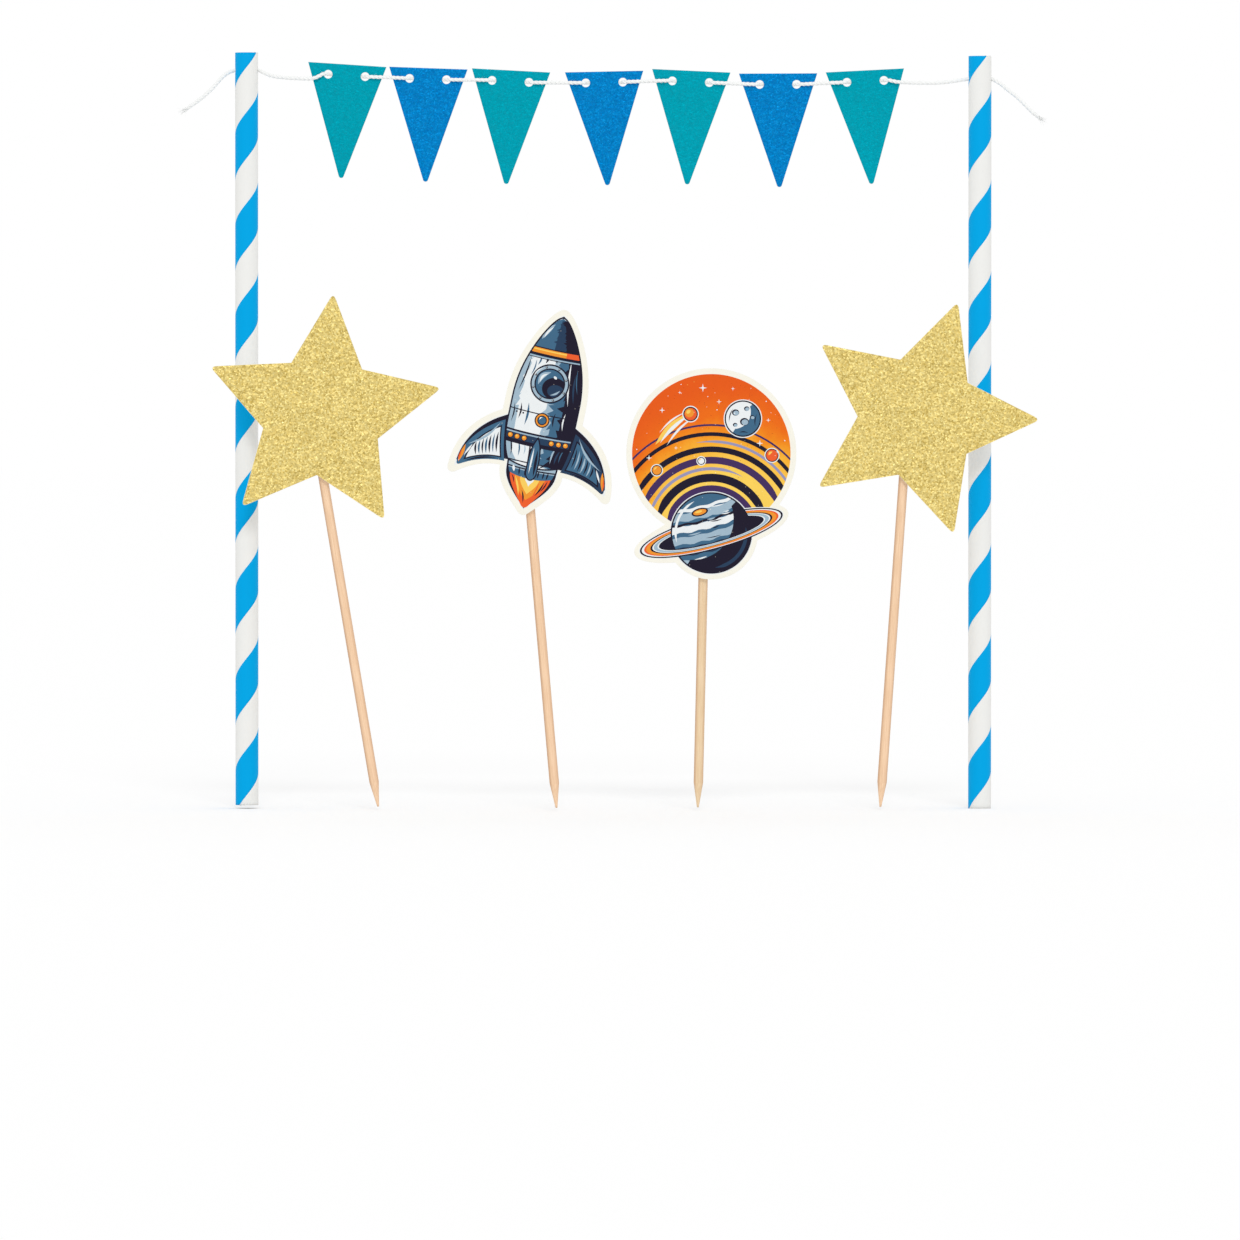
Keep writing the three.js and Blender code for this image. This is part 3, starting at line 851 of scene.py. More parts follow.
rocket_half = drawn(
    (0, 27), (1.8, 27, 4.1, 23.6, 5.95, 20.2), (8.8, 14.7, 10.6, 9, 10.6, 2.5), (10.6, -1.5),
    (15.6, -4.1, 21.4, -9.6, 21.6, -18.6), (21.6, -20.4, 20, -20.6, 19, -19.6),
    (15.6, -17.2, 12.3, -15.8, 8.3, -15.8), (8.3, -20, 4.9, -23.1, 1.2, -26.9),
    (0.8, -27.23, 0.4, -27.4, 0, -27.4),
)
body_half = drawn(
    (0, 24.6), (1.2, 24.6, 2.9, 22, 4.4, 19.2), (7, 14, 8.6, 8.7, 8.6, 2.5), (8.6, -3.2),
    (8.6, -8, 7.8, -11.2, 6.6, -13.6), (4.5, -14.5, 2.2, -14.8, 0, -14.8),
)
nozzle_half = drawn(
    (0, -14.2), (6.2, -14.2), (6.3, -15, 6.0, -16, 5.6, -17), (3.8, -17.7, 1.9, -17.9, 0, -17.9)
)
flame_half = drawn(
    (0, -16.6), (5.4, -16.8), (5.3, -19.4, 3.2, -21.8, 0.9, -24.9), (0.6, -25.3, 0.3, -25.4, 0, -25.4)
)
fin = drawn(
    (9.3, -4.0), (8.9, -8, 8.4, -11.6, 7.4, -14.6), (11.6, -14.6, 15, -15.6, 18.4, -17.6),
    (19.2, -18.1, 19.6, -17.8, 19.5, -17.0), (19.1, -10.8, 13.4, -6.2, 9.3, -4.0),
)[:-1]
fin_inside = drawn(
    (10.2, -6.2), (9.9, -9, 9.4, -11.6, 8.8, -13.6), (12, -13.6, 14.8, -14.4, 17.4, -15.8),
    (16.6, -11.4, 13.6, -8.2, 10.2, -6.2),
)[:-1]
middle_fin_half = drawn((0, -7.4), (1.1, -9.4, 1.4, -12, 1.2, -16.6), (0.9, -17.6, 0.4, -18, 0, -18))


def stroke(x, z, end_x, end_z, width, bow=0.0):
    """A pen stroke that tapers to both its ends and bows to its left by a distance."""
    start, end = Vector((x, z)), Vector((end_x, end_z))
    left = Vector((start.y - end.y, end.x - start.x)).normalized()
    sides = []
    shares = [i / stroke_steps for i in range(stroke_steps + 1)]
    for edge in (bow - width / 2, bow + width / 2):
        sides.append([start.lerp(end, share) + left * edge * math.sin(math.pi * share) for share in shares])
    return sides[0] + sides[1][-2:0:-1]


def on(within, *shapes):
    """Pieces of art, each an ink and then its outline, that stay within one outline."""
    return [(ink, outline, within) for ink, outline in zip(shapes[::2], shapes[1::2])]


def strokes(within, bow, *lines):
    """Pen strokes with one bow, each its ink, its start, its end and its width."""
    return [(ink, stroke(*line, bow), within) for ink, *line in lines]


def discs(within, x, z, *sizes, count=48):
    """Discs one on another, each its ink and its radius."""
    return [(ink, oval(x, z, radius, count=count), within) for ink, radius in sizes]


def body_line(share, top, bottom, count=24):
    """A line down the body at a share of its half width, right of its middle or, below zero, left of it."""
    levels = np.linspace(top, bottom, count)
    widths = np.interp(levels, [p.y for p in reversed(body_half)], [p.x for p in reversed(body_half)])
    return [Vector((share * width, level)) for width, level in zip(widths, levels)]


def shaded_side(share, top, bottom, reach, chance, count=24):
    """The body right of a line down it, out of which pen strokes dart sideways, each as far as reach."""
    line = body_line(share, top, bottom, count)
    edge = []
    for a, b in zip(line, line[1:]):
        edge.append(a)
        if chance.random() < 0.7:
            slant = (b - a) * chance.uniform(-0.6, 1.4)
            edge.append(a.lerp(b, 0.5) + Vector((reach * chance.uniform(0.25, 1.0), 0)) + slant)
    return [*edge, line[-1], Vector((belt_reach, line[-1].y - 3)), Vector((belt_reach, line[0].y + 3))]


def sagging(x, level, sag, reach=belt_reach):
    """The height of a belt at a place across it."""
    return level - sag * math.sqrt(1 - (x / reach) ** 2)


def belt(level, sag, thickness, reach=belt_reach):
    """A band across a round body, which sags in the middle as seen from the front and a little above."""
    across = [(-1 + 2 * i / belt_steps) * reach for i in range(belt_steps + 1)]
    lower = [Vector((x, sagging(x, level - thickness, sag, reach))) for x in across]
    return lower + [Vector((x, sagging(x, level, sag, reach))) for x in reversed(across)]


def rocket_art():
    """The printed rocket, from its silhouette up: flame, nozzle, fins, body, nose, windows and middle fin."""
    chance = random.Random(31)
    rim, body, nozzle, flame, middle_fin = [
        with_mirror(half) for half in (rocket_half, body_half, nozzle_half, flame_half, middle_fin_half)
    ]
    art = []
    for ink, depth in (("pale", card_border), ("navy", card_border + light_line)):
        # Near the narrow tips the moved outline crosses itself, so its points too near the rim are left out.
        moved = moved_inwards(rim, depth)
        art += on(None, ink, [p for p in moved if min((p - q).length for q in rim) > 0.99 * depth])

    art += on(None, "ember", flame)
    for ink, width, tip, bow in (
        ("orange", 3.9, -23.4, 0.5), ("yellow", 2.5, -21.9, 0.35), ("pale", 1.2, -19.9, 0.15),
    ):
        tongue = drawn((0, -16.9), (width, -16.9), (width + bow, -18.9, width * 0.55, tip + 1.6, 0, tip))
        art += on(flame, ink, with_mirror(tongue))
    art += strokes(
        flame, 0.2, ("yellow", -3.9, -17.6, -2.0, -22.6, 0.5), ("navy", 3.9, -17.9, 2.1, -22.0, 0.45),
        ("navy", -1.4, -21.0, -0.5, -24.3, 0.4), ("ember", 2.6, -18.0, 1.3, -23.0, 0.3),
        ("navy", 4.7, -17.4, 3.3, -20.6, 0.35), ("navy", -4.9, -17.4, -3.9, -19.6, 0.3),
    )
    art += on(None, "steel", nozzle)
    art += on(nozzle, "slate", belt(-15.2, 0.8, 2.2, 8.0), "navy", belt(-14.6, 0.8, 0.35, 8.0))
    art += strokes(nozzle, 0.0, ("pale", -4.9, -15.0, -4.4, -16.7, 0.7))
    for x in (-3.2, -1.6, 0.4, 2.0, 3.4, 4.5):
        art += strokes(nozzle, 0.0, ("navy", x, -15.3, x * 0.93, -17.4, 0.42))

    for way, sheet, inside, sheet_ink, inside_ink, lit in (
        (1, fin, fin_inside, "deep slate", "slate", "steel"),
        (-1, mirrored(fin), mirrored(fin_inside), "slate", "pale", "slate"),
    ):
        art += on(None, sheet_ink, sheet)
        art += on(sheet, "navy", moved_inwards(inside, -0.35), inside_ink, inside)
        for k in range(7):
            across = 10.4 + 0.85 * k
            line = (way * across, -7.4 - 0.62 * k, way * (across - 0.5), -12.9 - 0.28 * k)
            ink = lit if k % 2 else "navy"
            art += strokes(inside, 0.25 * way, (ink, *line, 0.42 + 0.2 * chance.random()))
        art += on(
            sheet, "steel", stroke(way * 10.4, -5.0, way * 17.6, -12.2, 0.6, -0.9 * way),
            "orange", stroke(way * 18.3, -11.6, way * 19.1, -17.2, 1.2),
            "ember", stroke(way * 18.9, -12.8, way * 19.2, -17.0, 0.5),
            "navy", stroke(way * 9.4, -14.2, way * 17.6, -16.7, 0.5, 0.5 * way),
            "pale", stroke(way * 16.4, -12.0, way * 18.0, -15.2, 0.5),
        )

    art += on(None, "navy", moved_inwards(body, -0.4), "pale", body)
    art += on(body, "steel", mirrored(shaded_side(0.78, 23, -14, 1.0, chance)))
    for share, reach, ink in ((0.05, -2.0, "steel"), (0.28, -1.9, "slate"), (0.56, -1.7, "navy")):
        art += on(body, ink, shaded_side(share, 23.4, -13.8, reach, chance))
    for top, bottom, share, width, ink in (
        (14.2, 2.4, 0.67, 0.55, "pale"), (0.6, -4.0, 0.66, 0.4, "pale"), (-8.4, -13.0, 0.62, 0.45, "steel"),
        (13.6, 4.2, -0.9, 0.4, "navy"), (1.0, -4.2, -0.92, 0.35, "navy"), (-8.0, -12.8, -0.88, 0.4, "navy"),
        (12.4, 6.0, 0.9, 0.3, "slate"), (-8.4, -12.4, 0.9, 0.3, "slate"), (13.0, 8.6, -0.66, 0.35, "slate"),
        (-8.6, -12.6, -0.6, 0.4, "slate"), (-9.2, -12.0, -0.4, 0.3, "steel"),
        (-8.8, -13.4, 0.18, 0.35, "navy"), (14.6, 12.4, -0.3, 0.6, "navy"),
        (14.4, 11.6, -0.55, 0.45, "slate"), (1.6, -4.4, -0.5, 0.6, "slate"),
        (1.2, -3.0, -0.72, 0.45, "navy"), (-8.2, -13.4, -0.24, 0.5, "navy"),
        (14.6, 12.8, 0.12, 0.5, "navy"), (11.0, 3.4, 0.82, 0.5, "deep slate"),
        (0.2, -3.6, 0.36, 0.45, "navy"), (-9.0, -13.0, 0.78, 0.5, "deep slate"),
    ):
        start, end = body_line(share, top, bottom, 2)
        art += strokes(body, 0.3 if share < 0 else -0.3, (ink, *start, *end, width))

    edge = body_line(1.0, 24.6, 14.0)
    seam = [p for p in belt(16.4, 1.5, 1.0)[:belt_steps + 1] if abs(p.x) < edge[-1].x]
    nose = [Vector((-p.x, p.y)) for p in edge] + seam + edge[::-1]
    band = belt(17.6, 1.6, 1.35)
    art += on(None, "slate", nose)
    art += on(nose, "deep slate", shaded_side(-0.1, 24, 15.4, -0.9, chance, 14))
    art += on(
        nose, "navy", shaded_side(0.45, 24, 15.4, -0.9, chance, 14),
        "steel", stroke(-1.7, 22.8, -4.4, 18.4, 1.3, -0.35),
        "pale", stroke(-2.0, 22.0, -3.9, 18.8, 0.5, -0.3), "navy", belt(17.9, 1.6, 2.0), "orange", band,
        "yellow", belt(17.35, 1.6, 0.35), "ember", [p for p in band if p.x > 2.5],
    )
    for ink, *shape in (
        ("navy", 16.0, 1.5, 0.5), ("steel", 15.4, 1.5, 0.32), ("navy", 15.05, 1.5, 0.22),
        ("navy", -4.4, 1.7, 3.5), ("deep slate", -4.8, 1.7, 2.7), ("steel", -4.9, 1.7, 0.35),
        ("navy", -6.9, 1.7, 0.6), ("navy", 0.9, 1.6, 0.28), ("navy", -12.4, 1.3, 0.3),
    ):
        art += on(body, ink, belt(*shape))
    for x in (-7.3, -5.5, -3.6, 3.6, 5.5, 7.3):
        z = sagging(x, -6.1, 1.7)
        art += on(
            body, "navy", oval(x, z, 0.8, count=16), "orange", oval(x, z, 0.6, count=14),
            "yellow", oval(x - 0.12, z + 0.15, 0.26, count=10),
        )
    for x in (-6.9, -5.2, 5.0, 6.6):
        art += on(body, "navy", oval(x, sagging(x, 0.1, 1.6), 0.24, count=10))

    art += discs(None, 0, 7.4, ("navy", 5.1), ("steel", 4.7), ("navy", 4.0), ("slate", 3.65))
    art += on(
        oval(0, 7.4, 3.65), "navy", oval(1.5, 6.3, 3.3, 2.9), "deep slate", oval(1.9, 5.7, 2.2, 1.7),
        "steel", stroke(-3.0, 6.6, -0.2, 10.5, 1.3, 0.85), "pale", stroke(-2.6, 7.3, -0.9, 9.9, 0.6, 0.55),
        "pale", oval(1.1, 9.2, 0.5, 0.34, -30, 14), "steel", stroke(0.6, 4.5, 3.0, 6.2, 0.5, -0.3),
    )
    for k in range(8):
        angle = math.pi * (k + 0.5) / 4
        x, z = 4.36 * math.cos(angle), 7.4 + 4.36 * math.sin(angle)
        art += on(None, "navy", oval(x, z, 0.3, count=12), "pale", oval(x - 0.06, z + 0.06, 0.13, count=8))
    art += strokes(None, 0.4, ("pale", -4.5, 8.6, -2.4, 11.2, 0.28))
    art += discs(None, 0, -2.3, ("navy", 1.95), ("orange", 1.65), ("navy", 1.25), ("slate", 1.0), count=32)
    art += strokes(None, 0.25, ("pale", -0.7, -2.3, 0, -1.5, 0.35))
    art += on(None, "navy", moved_inwards(middle_fin, -0.35), "slate", middle_fin)
    lines = (("pale", -0.5, -9.6, -0.6, -16.6, 0.45), ("navy", 0.55, -10.0, 0.7, -17.2, 0.7))
    return art + strokes(middle_fin, 0.0, *lines)


def print_card(name, outline, art, place, turn):
    """A card with its printed face, in the set as the piece that stands for the CAD card."""
    used = list(dict.fromkeys(ink for ink, _, _ in art))
    mesh = card_mesh(name, outline, art=[(2 + used.index(ink), line, within) for ink, line, within in art])
    materials = [inks["cream"], card_core, *(inks[ink] for ink in used)]
    card = new_piece("printed_" + name, mesh, materials, place, turn)
    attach(card, name)
    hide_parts(name + "_card")


print_card("rocket", with_mirror(rocket_half), rocket_art(), rocket_place, rocket_turn)


# Planet card
# A round sunset sky with a ringed planet across its lower edge, printed on the same white card and cut round
# both with the same cream border. Pale and dark rings of its orbits cross the sky behind it.

disc_radius = 20.6
planet_radius = 10.6
planet_drop = 20.7
ring_reach = (19.2, 4.4)
ring_gap = (13.6, 2.5)
ring_edge = 0.5
ring_tilt = 15.0
ring_steps = 32
outline_points = 420
sky_specks = 46
cloud_strokes = 26
planet_place = (25.5, -23.0, 64.7)
planet_middle = Vector((0, -planet_drop))
tilted = Matrix.Rotation(math.radians(ring_tilt), 2)


def sunset_ink():
    """The sky's ink: yellow round the planet, then orange, then red orange at the top, with dark specks."""
    material, tree, shader = new_material("sunset ink", 0.42, 0.08)
    terms = {"Vector": place_node(tree, "TexCoord")["Object"], "Location": (-5, 0, planet_drop)}
    from_planet = place_node(tree, "Mapping", {**terms, "Scale": (1000, 0, 1000)})["Vector"]
    reach = place_node(tree, "VectorMath", {0: from_planet}, operation="LENGTH")["Value"]
    where = millimetres(tree)
    wavy = place_math(tree, "MULTIPLY_ADD", place_noise(tree, where, 0.12, 5.0, 0.6), 9.0, reach)
    ramp = tree.nodes.new("ShaderNodeValToRGB")
    feed(tree, ramp.inputs, {"Fac": place_range(tree, wavy, 18.0, 44.0)})
    stops = (
        (0.0, (251, 210, 92)), (0.3, (249, 180, 54)), (0.52, (243, 142, 28)), (0.74, (238, 110, 22)),
        (1.0, (231, 92, 24)),
    )
    while len(ramp.color_ramp.elements) < len(stops):
        ramp.color_ramp.elements.new(0.5)
    for element, (share, tint) in zip(ramp.color_ramp.elements, stops):
        element.position = share
        element.color = colour(*tint)
    specks = scattered(tree, where, 1.7, (0.72, 0.8), (0.1, 0.2), 0.75)
    print_on(tree, shader, place_mix(tree, specks, ramp.outputs["Color"], colour(120, 44, 30)), 1.0)
    return material


inks["sunset"] = sunset_ink()


def planet_outline(border):
    """The line round the disc, the planet and its ring together, at a border's width outside them."""
    middle = Vector((0, -12))
    level = Matrix.Rotation(math.radians(-ring_tilt), 2)
    points = []
    shapes = [
        (Vector((0, 0)), disc_radius + border, disc_radius + border),
        (planet_middle, planet_radius + border, planet_radius + border),
        (planet_middle, ring_reach[0] + border, ring_reach[1] + border),
    ]
    for i in range(outline_points):
        angle = 2 * math.pi * i / outline_points
        way = Vector((math.cos(angle), math.sin(angle)))
        reaches = []
        for centre, across, up in shapes:
            # The ray from the middle, turned level with the oval and scaled as the oval is to a unit circle.
            squeeze = Vector((1 / across, 1 / up))
            start = level @ (middle - centre) * squeeze
            step = level @ way * squeeze
            a, b, c = step.dot(step), start.dot(step), start.dot(start) - 1
            inside = b * b - a * c
            if inside > 0:
                reaches.append((-b + math.sqrt(inside)) / a)
        points.append(middle + way * max(reaches))
    return points


def ring_part(outer, inner, near):
    """The half of the ring's oval between two sizes that passes behind the planet or in front of it."""
    angles = [math.pi * (i / ring_steps + (1 if near else 0)) for i in range(ring_steps + 1)]
    sides = []
    for across, up in (outer, inner):
        sides.append([Vector((across * math.cos(a), up * math.sin(a))) for a in angles])
    return [tilted @ p + planet_middle for p in sides[0] + sides[1][::-1]]


def ring_art(near):
    """The ring behind the planet or in front of it: its dark rim, then bands by their share of its width."""
    art = on(None, "navy", ring_part(ring_reach, ring_gap, near))
    inner = (ring_gap[0] + ring_edge, ring_gap[1] + ring_edge * 0.5)
    outer = (ring_reach[0] - ring_edge, ring_reach[1] - ring_edge * 0.7)
    for start, end, ink in (
        (0, 1, "pale"), (0.08, 0.3, "steel"), (0.38, 0.5, "navy"), (0.5, 0.74, "orange"),
        (0.74, 0.86, "ember"),
    ):
        edges = [[low + share * (high - low) for low, high in zip(inner, outer)] for share in (end, start)]
        art += on(None, ink, ring_part(*edges, near))
    return art


def four_point_star(x, z, size):
    """A small star with four drawn-out points."""
    points = []
    for i in range(8):
        reach = size if i % 2 == 0 else size * 0.24
        points.append(Vector((x + reach * math.cos(math.pi * i / 4), z + reach * math.sin(math.pi * i / 4))))
    return points


def arc(inner, outer, start, end, count=40):
    """A band round the planet's middle, from one angle in degrees to another, tapered at its ends."""
    middle = (inner + outer) / 2
    edges = []
    for edge in (inner, outer):
        points = []
        for i in range(count + 1):
            angle = math.radians(start + (end - start) * i / count)
            radius = middle + (edge - middle) * min(1.0, 6 * i / count, 6 * (count - i) / count)
            points.append(Vector((radius * math.cos(angle), radius * math.sin(angle) - planet_drop)))
        edges.append(points)
    return edges[1] + edges[0][-2:0:-1]


def shaded_disc(x, z, radius, offset):
    """A disc's side away from the light, a crescent between its edge and a circle moved towards the light."""
    middle, away, along = Vector((x, z)), Vector((0.8, -0.6)), Vector((0.6, 0.8))
    lit = oval(x - offset * 0.8, z + offset * 0.6, radius)
    split = [p for p in lit if (p - middle).dot(away) > -radius * 0.1]
    outside = [p for p in oval(x, z, radius * 2) if (p - middle).dot(away) > 0]
    split.sort(key=lambda p: (p - middle).dot(along))
    outside.sort(key=lambda p: -(p - middle).dot(along))
    return split + outside


def sky_art(chance):
    """The printed sky with its orbits, small planets, moon, comet and stars."""
    disc = oval(0, 0, disc_radius, count=128)
    art = on(None, "sunset", disc)
    for ink, *band in (
        ("plum", 27.8, 28.3, 22, 158), ("navy", 25.2, 26.2, 14, 166), ("lavender", 23.4, 24.1, 14, 100),
        ("navy", 21.0, 22.5, 10, 170), ("plum", 18.0, 19.8, 8, 172), ("lavender", 16.3, 17.1, 60, 172),
        ("navy", 13.3, 15.4, 4, 176), ("plum", 10.4, 12.4, 0, 180),
    ):
        art += on(disc, ink, arc(*band))
    for degrees, radius, size, ink in (
        (52, 25.6, 1.5, "ember"), (131, 21.6, 1.15, "orange"), (98, 18.9, 0.8, "pale"),
    ):
        x = radius * math.cos(math.radians(degrees))
        z = radius * math.sin(math.radians(degrees)) - planet_drop
        art += discs(disc, x, z, ("pale", size + 0.45), ("navy", size + 0.22), (ink, size), count=28)
        art += strokes(disc, 0.2, ("yellow", x - size * 0.6, z, x + size * 0.1, z + size * 0.65, size * 0.4))

    art += discs(disc, 8.2, 9.0, ("pale", 5.0), ("navy", 4.75), ("pale", 4.4))
    moon = oval(8.2, 9.0, 4.4)
    art += on(moon, "steel", shaded_disc(8.2, 9.0, 4.4, 1.3), "slate", shaded_disc(8.2, 9.0, 4.4, 2.9))
    for x, z, size in (
        (6.3, 10.6, 0.95), (8.6, 8.2, 1.15), (6.2, 7.4, 0.6), (9.2, 11.6, 0.7), (10.6, 9.4, 0.6),
    ):
        crater = oval(x, z, size, size * 0.86)
        art += on(moon, "navy", crater, "steel", oval(x + 0.12, z - 0.12, size * 0.76, size * 0.64))
    art += strokes(
        moon, 0.25, ("navy", 4.6, 8.2, 5.6, 11.6, 0.28), ("navy", 7.2, 5.4, 9.6, 5.3, 0.28),
        ("navy", 11.4, 7.0, 11.8, 10.2, 0.28),
    )
    art += strokes(
        disc, 0.6, ("yellow", -14.6, 2.2, -5.4, 10.6, 1.9), ("pale", -13.4, 2.6, -5.6, 10.0, 0.9),
        ("pale", -11.6, 2.0, -4.6, 9.4, 0.6), ("pale", -13.6, 5.2, -6.6, 10.8, 0.45),
    )
    art += discs(disc, -5.4, 10.2, ("pale", 2.15), ("navy", 1.9), ("ember", 1.6))
    art += on(disc, "orange", oval(-5.7, 10.5, 1.15), "yellow", oval(-5.95, 10.8, 0.6, 0.45, 40, 20))
    for place in (
        (-2.2, 17.0, 1.1), (12.6, 2.6, 0.9), (-12.8, 11.2, 0.8), (2.0, 13.4, 0.7), (-16.2, -1.2, 0.8),
        (14.8, 8.6, 0.6), (-8.2, 15.8, 0.5), (5.6, 16.8, 0.55), (-9.2, 1.4, 0.5), (17.2, 0.4, 0.5),
    ):
        art += on(disc, "pale", four_point_star(*place))
    for _ in range(sky_specks):
        angle, reach = chance.uniform(0, 2 * math.pi), disc_radius * math.sqrt(chance.uniform(0, 0.93))
        x, z = reach * math.cos(angle), reach * math.sin(angle)
        if math.hypot(x, z + planet_drop) > 29:
            ink = chance.choice(("pale", "pale", "plum", "yellow"))
            art += on(disc, ink, oval(x, z, chance.uniform(0.08, 0.2), count=8))
    return art


def planet_face(planet, chance):
    """Bands of cloud round the planet with brushed edges, its lit and dark sides, and a swirl."""
    art = []
    for low, high, ink in (
        (5.6, 7.6, "steel"), (7.9, 8.7, "pale"), (2.6, 4.4, "pale"), (4.4, 5.0, "navy"), (-0.4, 1.5, "steel"),
        (-3.4, -1.2, "deep slate"), (-6.0, -4.6, "steel"), (-8.6, -7.2, "deep slate"),
    ):
        lower, upper = [], []
        for x in range(-12, 13):
            sag = -0.024 * (144 - x * x) * 0.35
            wobble = 0.22 * math.sin(1.3 * x + 2 * low)
            lower.append(planet_middle + tilted @ Vector((x, low + sag + wobble)))
            upper.append(planet_middle + tilted @ Vector((x, high + sag + 0.7 * wobble)))
        art += on(planet, ink, lower + upper[::-1])
    for _ in range(cloud_strokes):
        x, level = chance.uniform(-8, 6), chance.uniform(-9, 9)
        length = chance.uniform(1.8, 4.6)
        start = planet_middle + tilted @ Vector((x, level))
        end = planet_middle + tilted @ Vector((x + length, level + chance.uniform(-0.2, 0.2)))
        ink = chance.choice(("pale", "pale", "navy", "steel"))
        art += strokes(planet, -0.15, (ink, *start, *end, chance.uniform(0.22, 0.45)))
    for ink, x, up, *size in (
        ("navy", -3.0, 5.4, 2.2, 1.05), ("orange", -3.0, 5.4, 1.75, 0.7), ("yellow", -3.3, 5.5, 0.95, 0.3),
    ):
        art += on(planet, ink, oval(x, up - planet_drop, *size, ring_tilt))
    return art + on(
        planet, "navy", shaded_disc(0, -planet_drop, planet_radius, 6.0),
        "deep slate", arc(8.6, 9.5, -84, 10), "pale", arc(9.0, 9.6, 118, 196),
    )


def planet_art():
    """The sky, then the planet, with its ring behind it and in front of it."""
    chance = random.Random(32)
    art = sky_art(chance)
    planet = oval(0, -planet_drop, planet_radius - 0.4, count=96)
    around = [reach + light_line for reach in ring_reach]
    art += on(
        None, "pale", oval(0, -planet_drop, *around, ring_tilt, 96),
        "pale", oval(0, -planet_drop, planet_radius + light_line, count=96),
        "navy", oval(0, -planet_drop, *ring_gap, ring_tilt, 96),
    )
    art += ring_art(False) + on(None, "navy", oval(0, -planet_drop, planet_radius, count=96), "slate", planet)
    return art + planet_face(planet, chance) + ring_art(True)


print_card("planet", planet_outline(card_border), planet_art(), planet_place, 0.0)


# Picks
# Four round bamboo picks, cut square at the top and sharpened at the foot. Each is pressed into the foam pad
# on the back of its card, and its lower end goes into what the set stands in.

pick_radius = 1.25
pick_length = 105.0
pick_taper = 6.5
pick_tip_radius = 0.25
pick_columns = 28
pick_shaft_rows = 30
pick_taper_rows = 8
pick_level = 2.825
pick_top = {
    "star_left": (-78.65, -17.0 + pick_level, 76.1), "star_right": (77.0, -17.0 + pick_level, 77.2),
    "rocket": (-23.9, -26.0 + pick_level, 77.1), "planet": (24.4, -23.0 + pick_level, 77.5),
}
pick_lean = {"star_left": -9.5, "star_right": 4.0, "rocket": -5.0, "planet": 1.3}


def pick_mesh(seed):
    """A round stick with the faint flats and ridges of split bamboo, from its cut top to its sharp foot."""
    chance = random.Random(seed)
    phases = [chance.uniform(0, 2 * math.pi) for _ in range(5)]
    levels = [(0.0, 0.9), (-0.08, 0.98), (-0.25, 1.0)]
    shaft = pick_length - pick_taper
    levels += [(-shaft * i / pick_shaft_rows, 1.0) for i in range(1, pick_shaft_rows + 1)]
    tip = pick_tip_radius / pick_radius
    for i in range(1, pick_taper_rows + 1):
        levels.append((-shaft - pick_taper * i / pick_taper_rows, 1 + (tip - 1) * i / pick_taper_rows))
    mesh = bmesh.new()
    rings = []
    for level, share in levels:
        ring = []
        for k in range(pick_columns):
            angle = 2 * math.pi * k / pick_columns
            ridges = 0.008 * math.sin(3 * angle + phases[0]) + 0.007 * math.sin(7 * angle + phases[1])
            ridges += 0.005 * math.sin(11 * angle + phases[2] + 0.05 * level)
            radius = pick_radius * share * (0.985 + ridges)
            ring.append(mesh.verts.new((radius * math.cos(angle), radius * math.sin(angle), level)))
        rings.append(ring)
    for upper, lower in zip(rings, rings[1:]):
        for face in faces_between(mesh, upper, lower):
            face.smooth = upper is not rings[0]
    mesh.faces.new(rings[0])
    mesh.faces.new(rings[-1][::-1])
    bmesh.ops.recalc_face_normals(mesh, faces=mesh.faces[:])
    return taken_from(mesh, "pick")


def bamboo_material(name, pale, warm):
    """Bamboo between two tones, with long fine fibres, darker bundles and painted shade down its sides,
    heavier on the left.
    """
    material, tree, shader = new_material(name, 0.55, 0.2)
    fine = place_noise(tree, millimetres(tree, up=0.03), 5.0, 4.0, 0.6)
    broad = place_noise(tree, millimetres(tree, up=0.02), 1.1, 2.0)
    bundle = place_cells(tree, millimetres(tree, up=0.012), 2.6)["Distance"]
    across = place_node(tree, "SeparateXYZ", {0: millimetres(tree, 1 / pick_radius)})["X"]
    tint = place_mix(tree, place_range(tree, fine, 0.35, 0.68), warm, pale)
    tint = place_mix(tree, place_range(tree, broad, 0.45, 0.75, 0.0, 0.35), tint, colour(232, 190, 146))
    tint = place_mix(tree, place_range(tree, bundle, 0.05, 0.16, 0.4, 0.0), tint, colour(196, 152, 110))
    # Painted shade down both sides of the round stick, darker on the left than on the right, as the light
    # falls from the front right.
    for edge, share in ((-0.95, 0.75), (0.95, 0.45)):
        painted_side_shade = place_range(tree, across, edge * 0.4, edge, 0.0, share)
        tint = place_mix(tree, painted_side_shade, tint, colour(206, 160, 122))
    roughness = place_range(tree, fine, 0.3, 0.7, 0.62, 0.46)
    feed(tree, shader, {"Base Color": tint, "Roughness": roughness, "Normal": relief(tree, fine, 0.05)})
    return material


bamboo = bamboo_material("bamboo", colour(254, 219, 184), colour(241, 202, 165))
yellower_bamboo = bamboo_material("yellower bamboo", colour(246, 220, 184), colour(233, 203, 162))
for seed, (name, top) in enumerate(pick_top.items()):
    wood = yellower_bamboo if name == "planet" else bamboo
    pick = new_piece("bamboo_pick_" + name, pick_mesh(41 + seed), [wood], top, pick_lean[name])
    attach(pick, name)
    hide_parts(name + "_pick")


# Foam pads
# A piece of white double-sided foam tape glues each pick to the back of its card. It is cut with scissors,
# its cut sides bulge, and the pick is pressed into its back so that the foam stands up beside it.

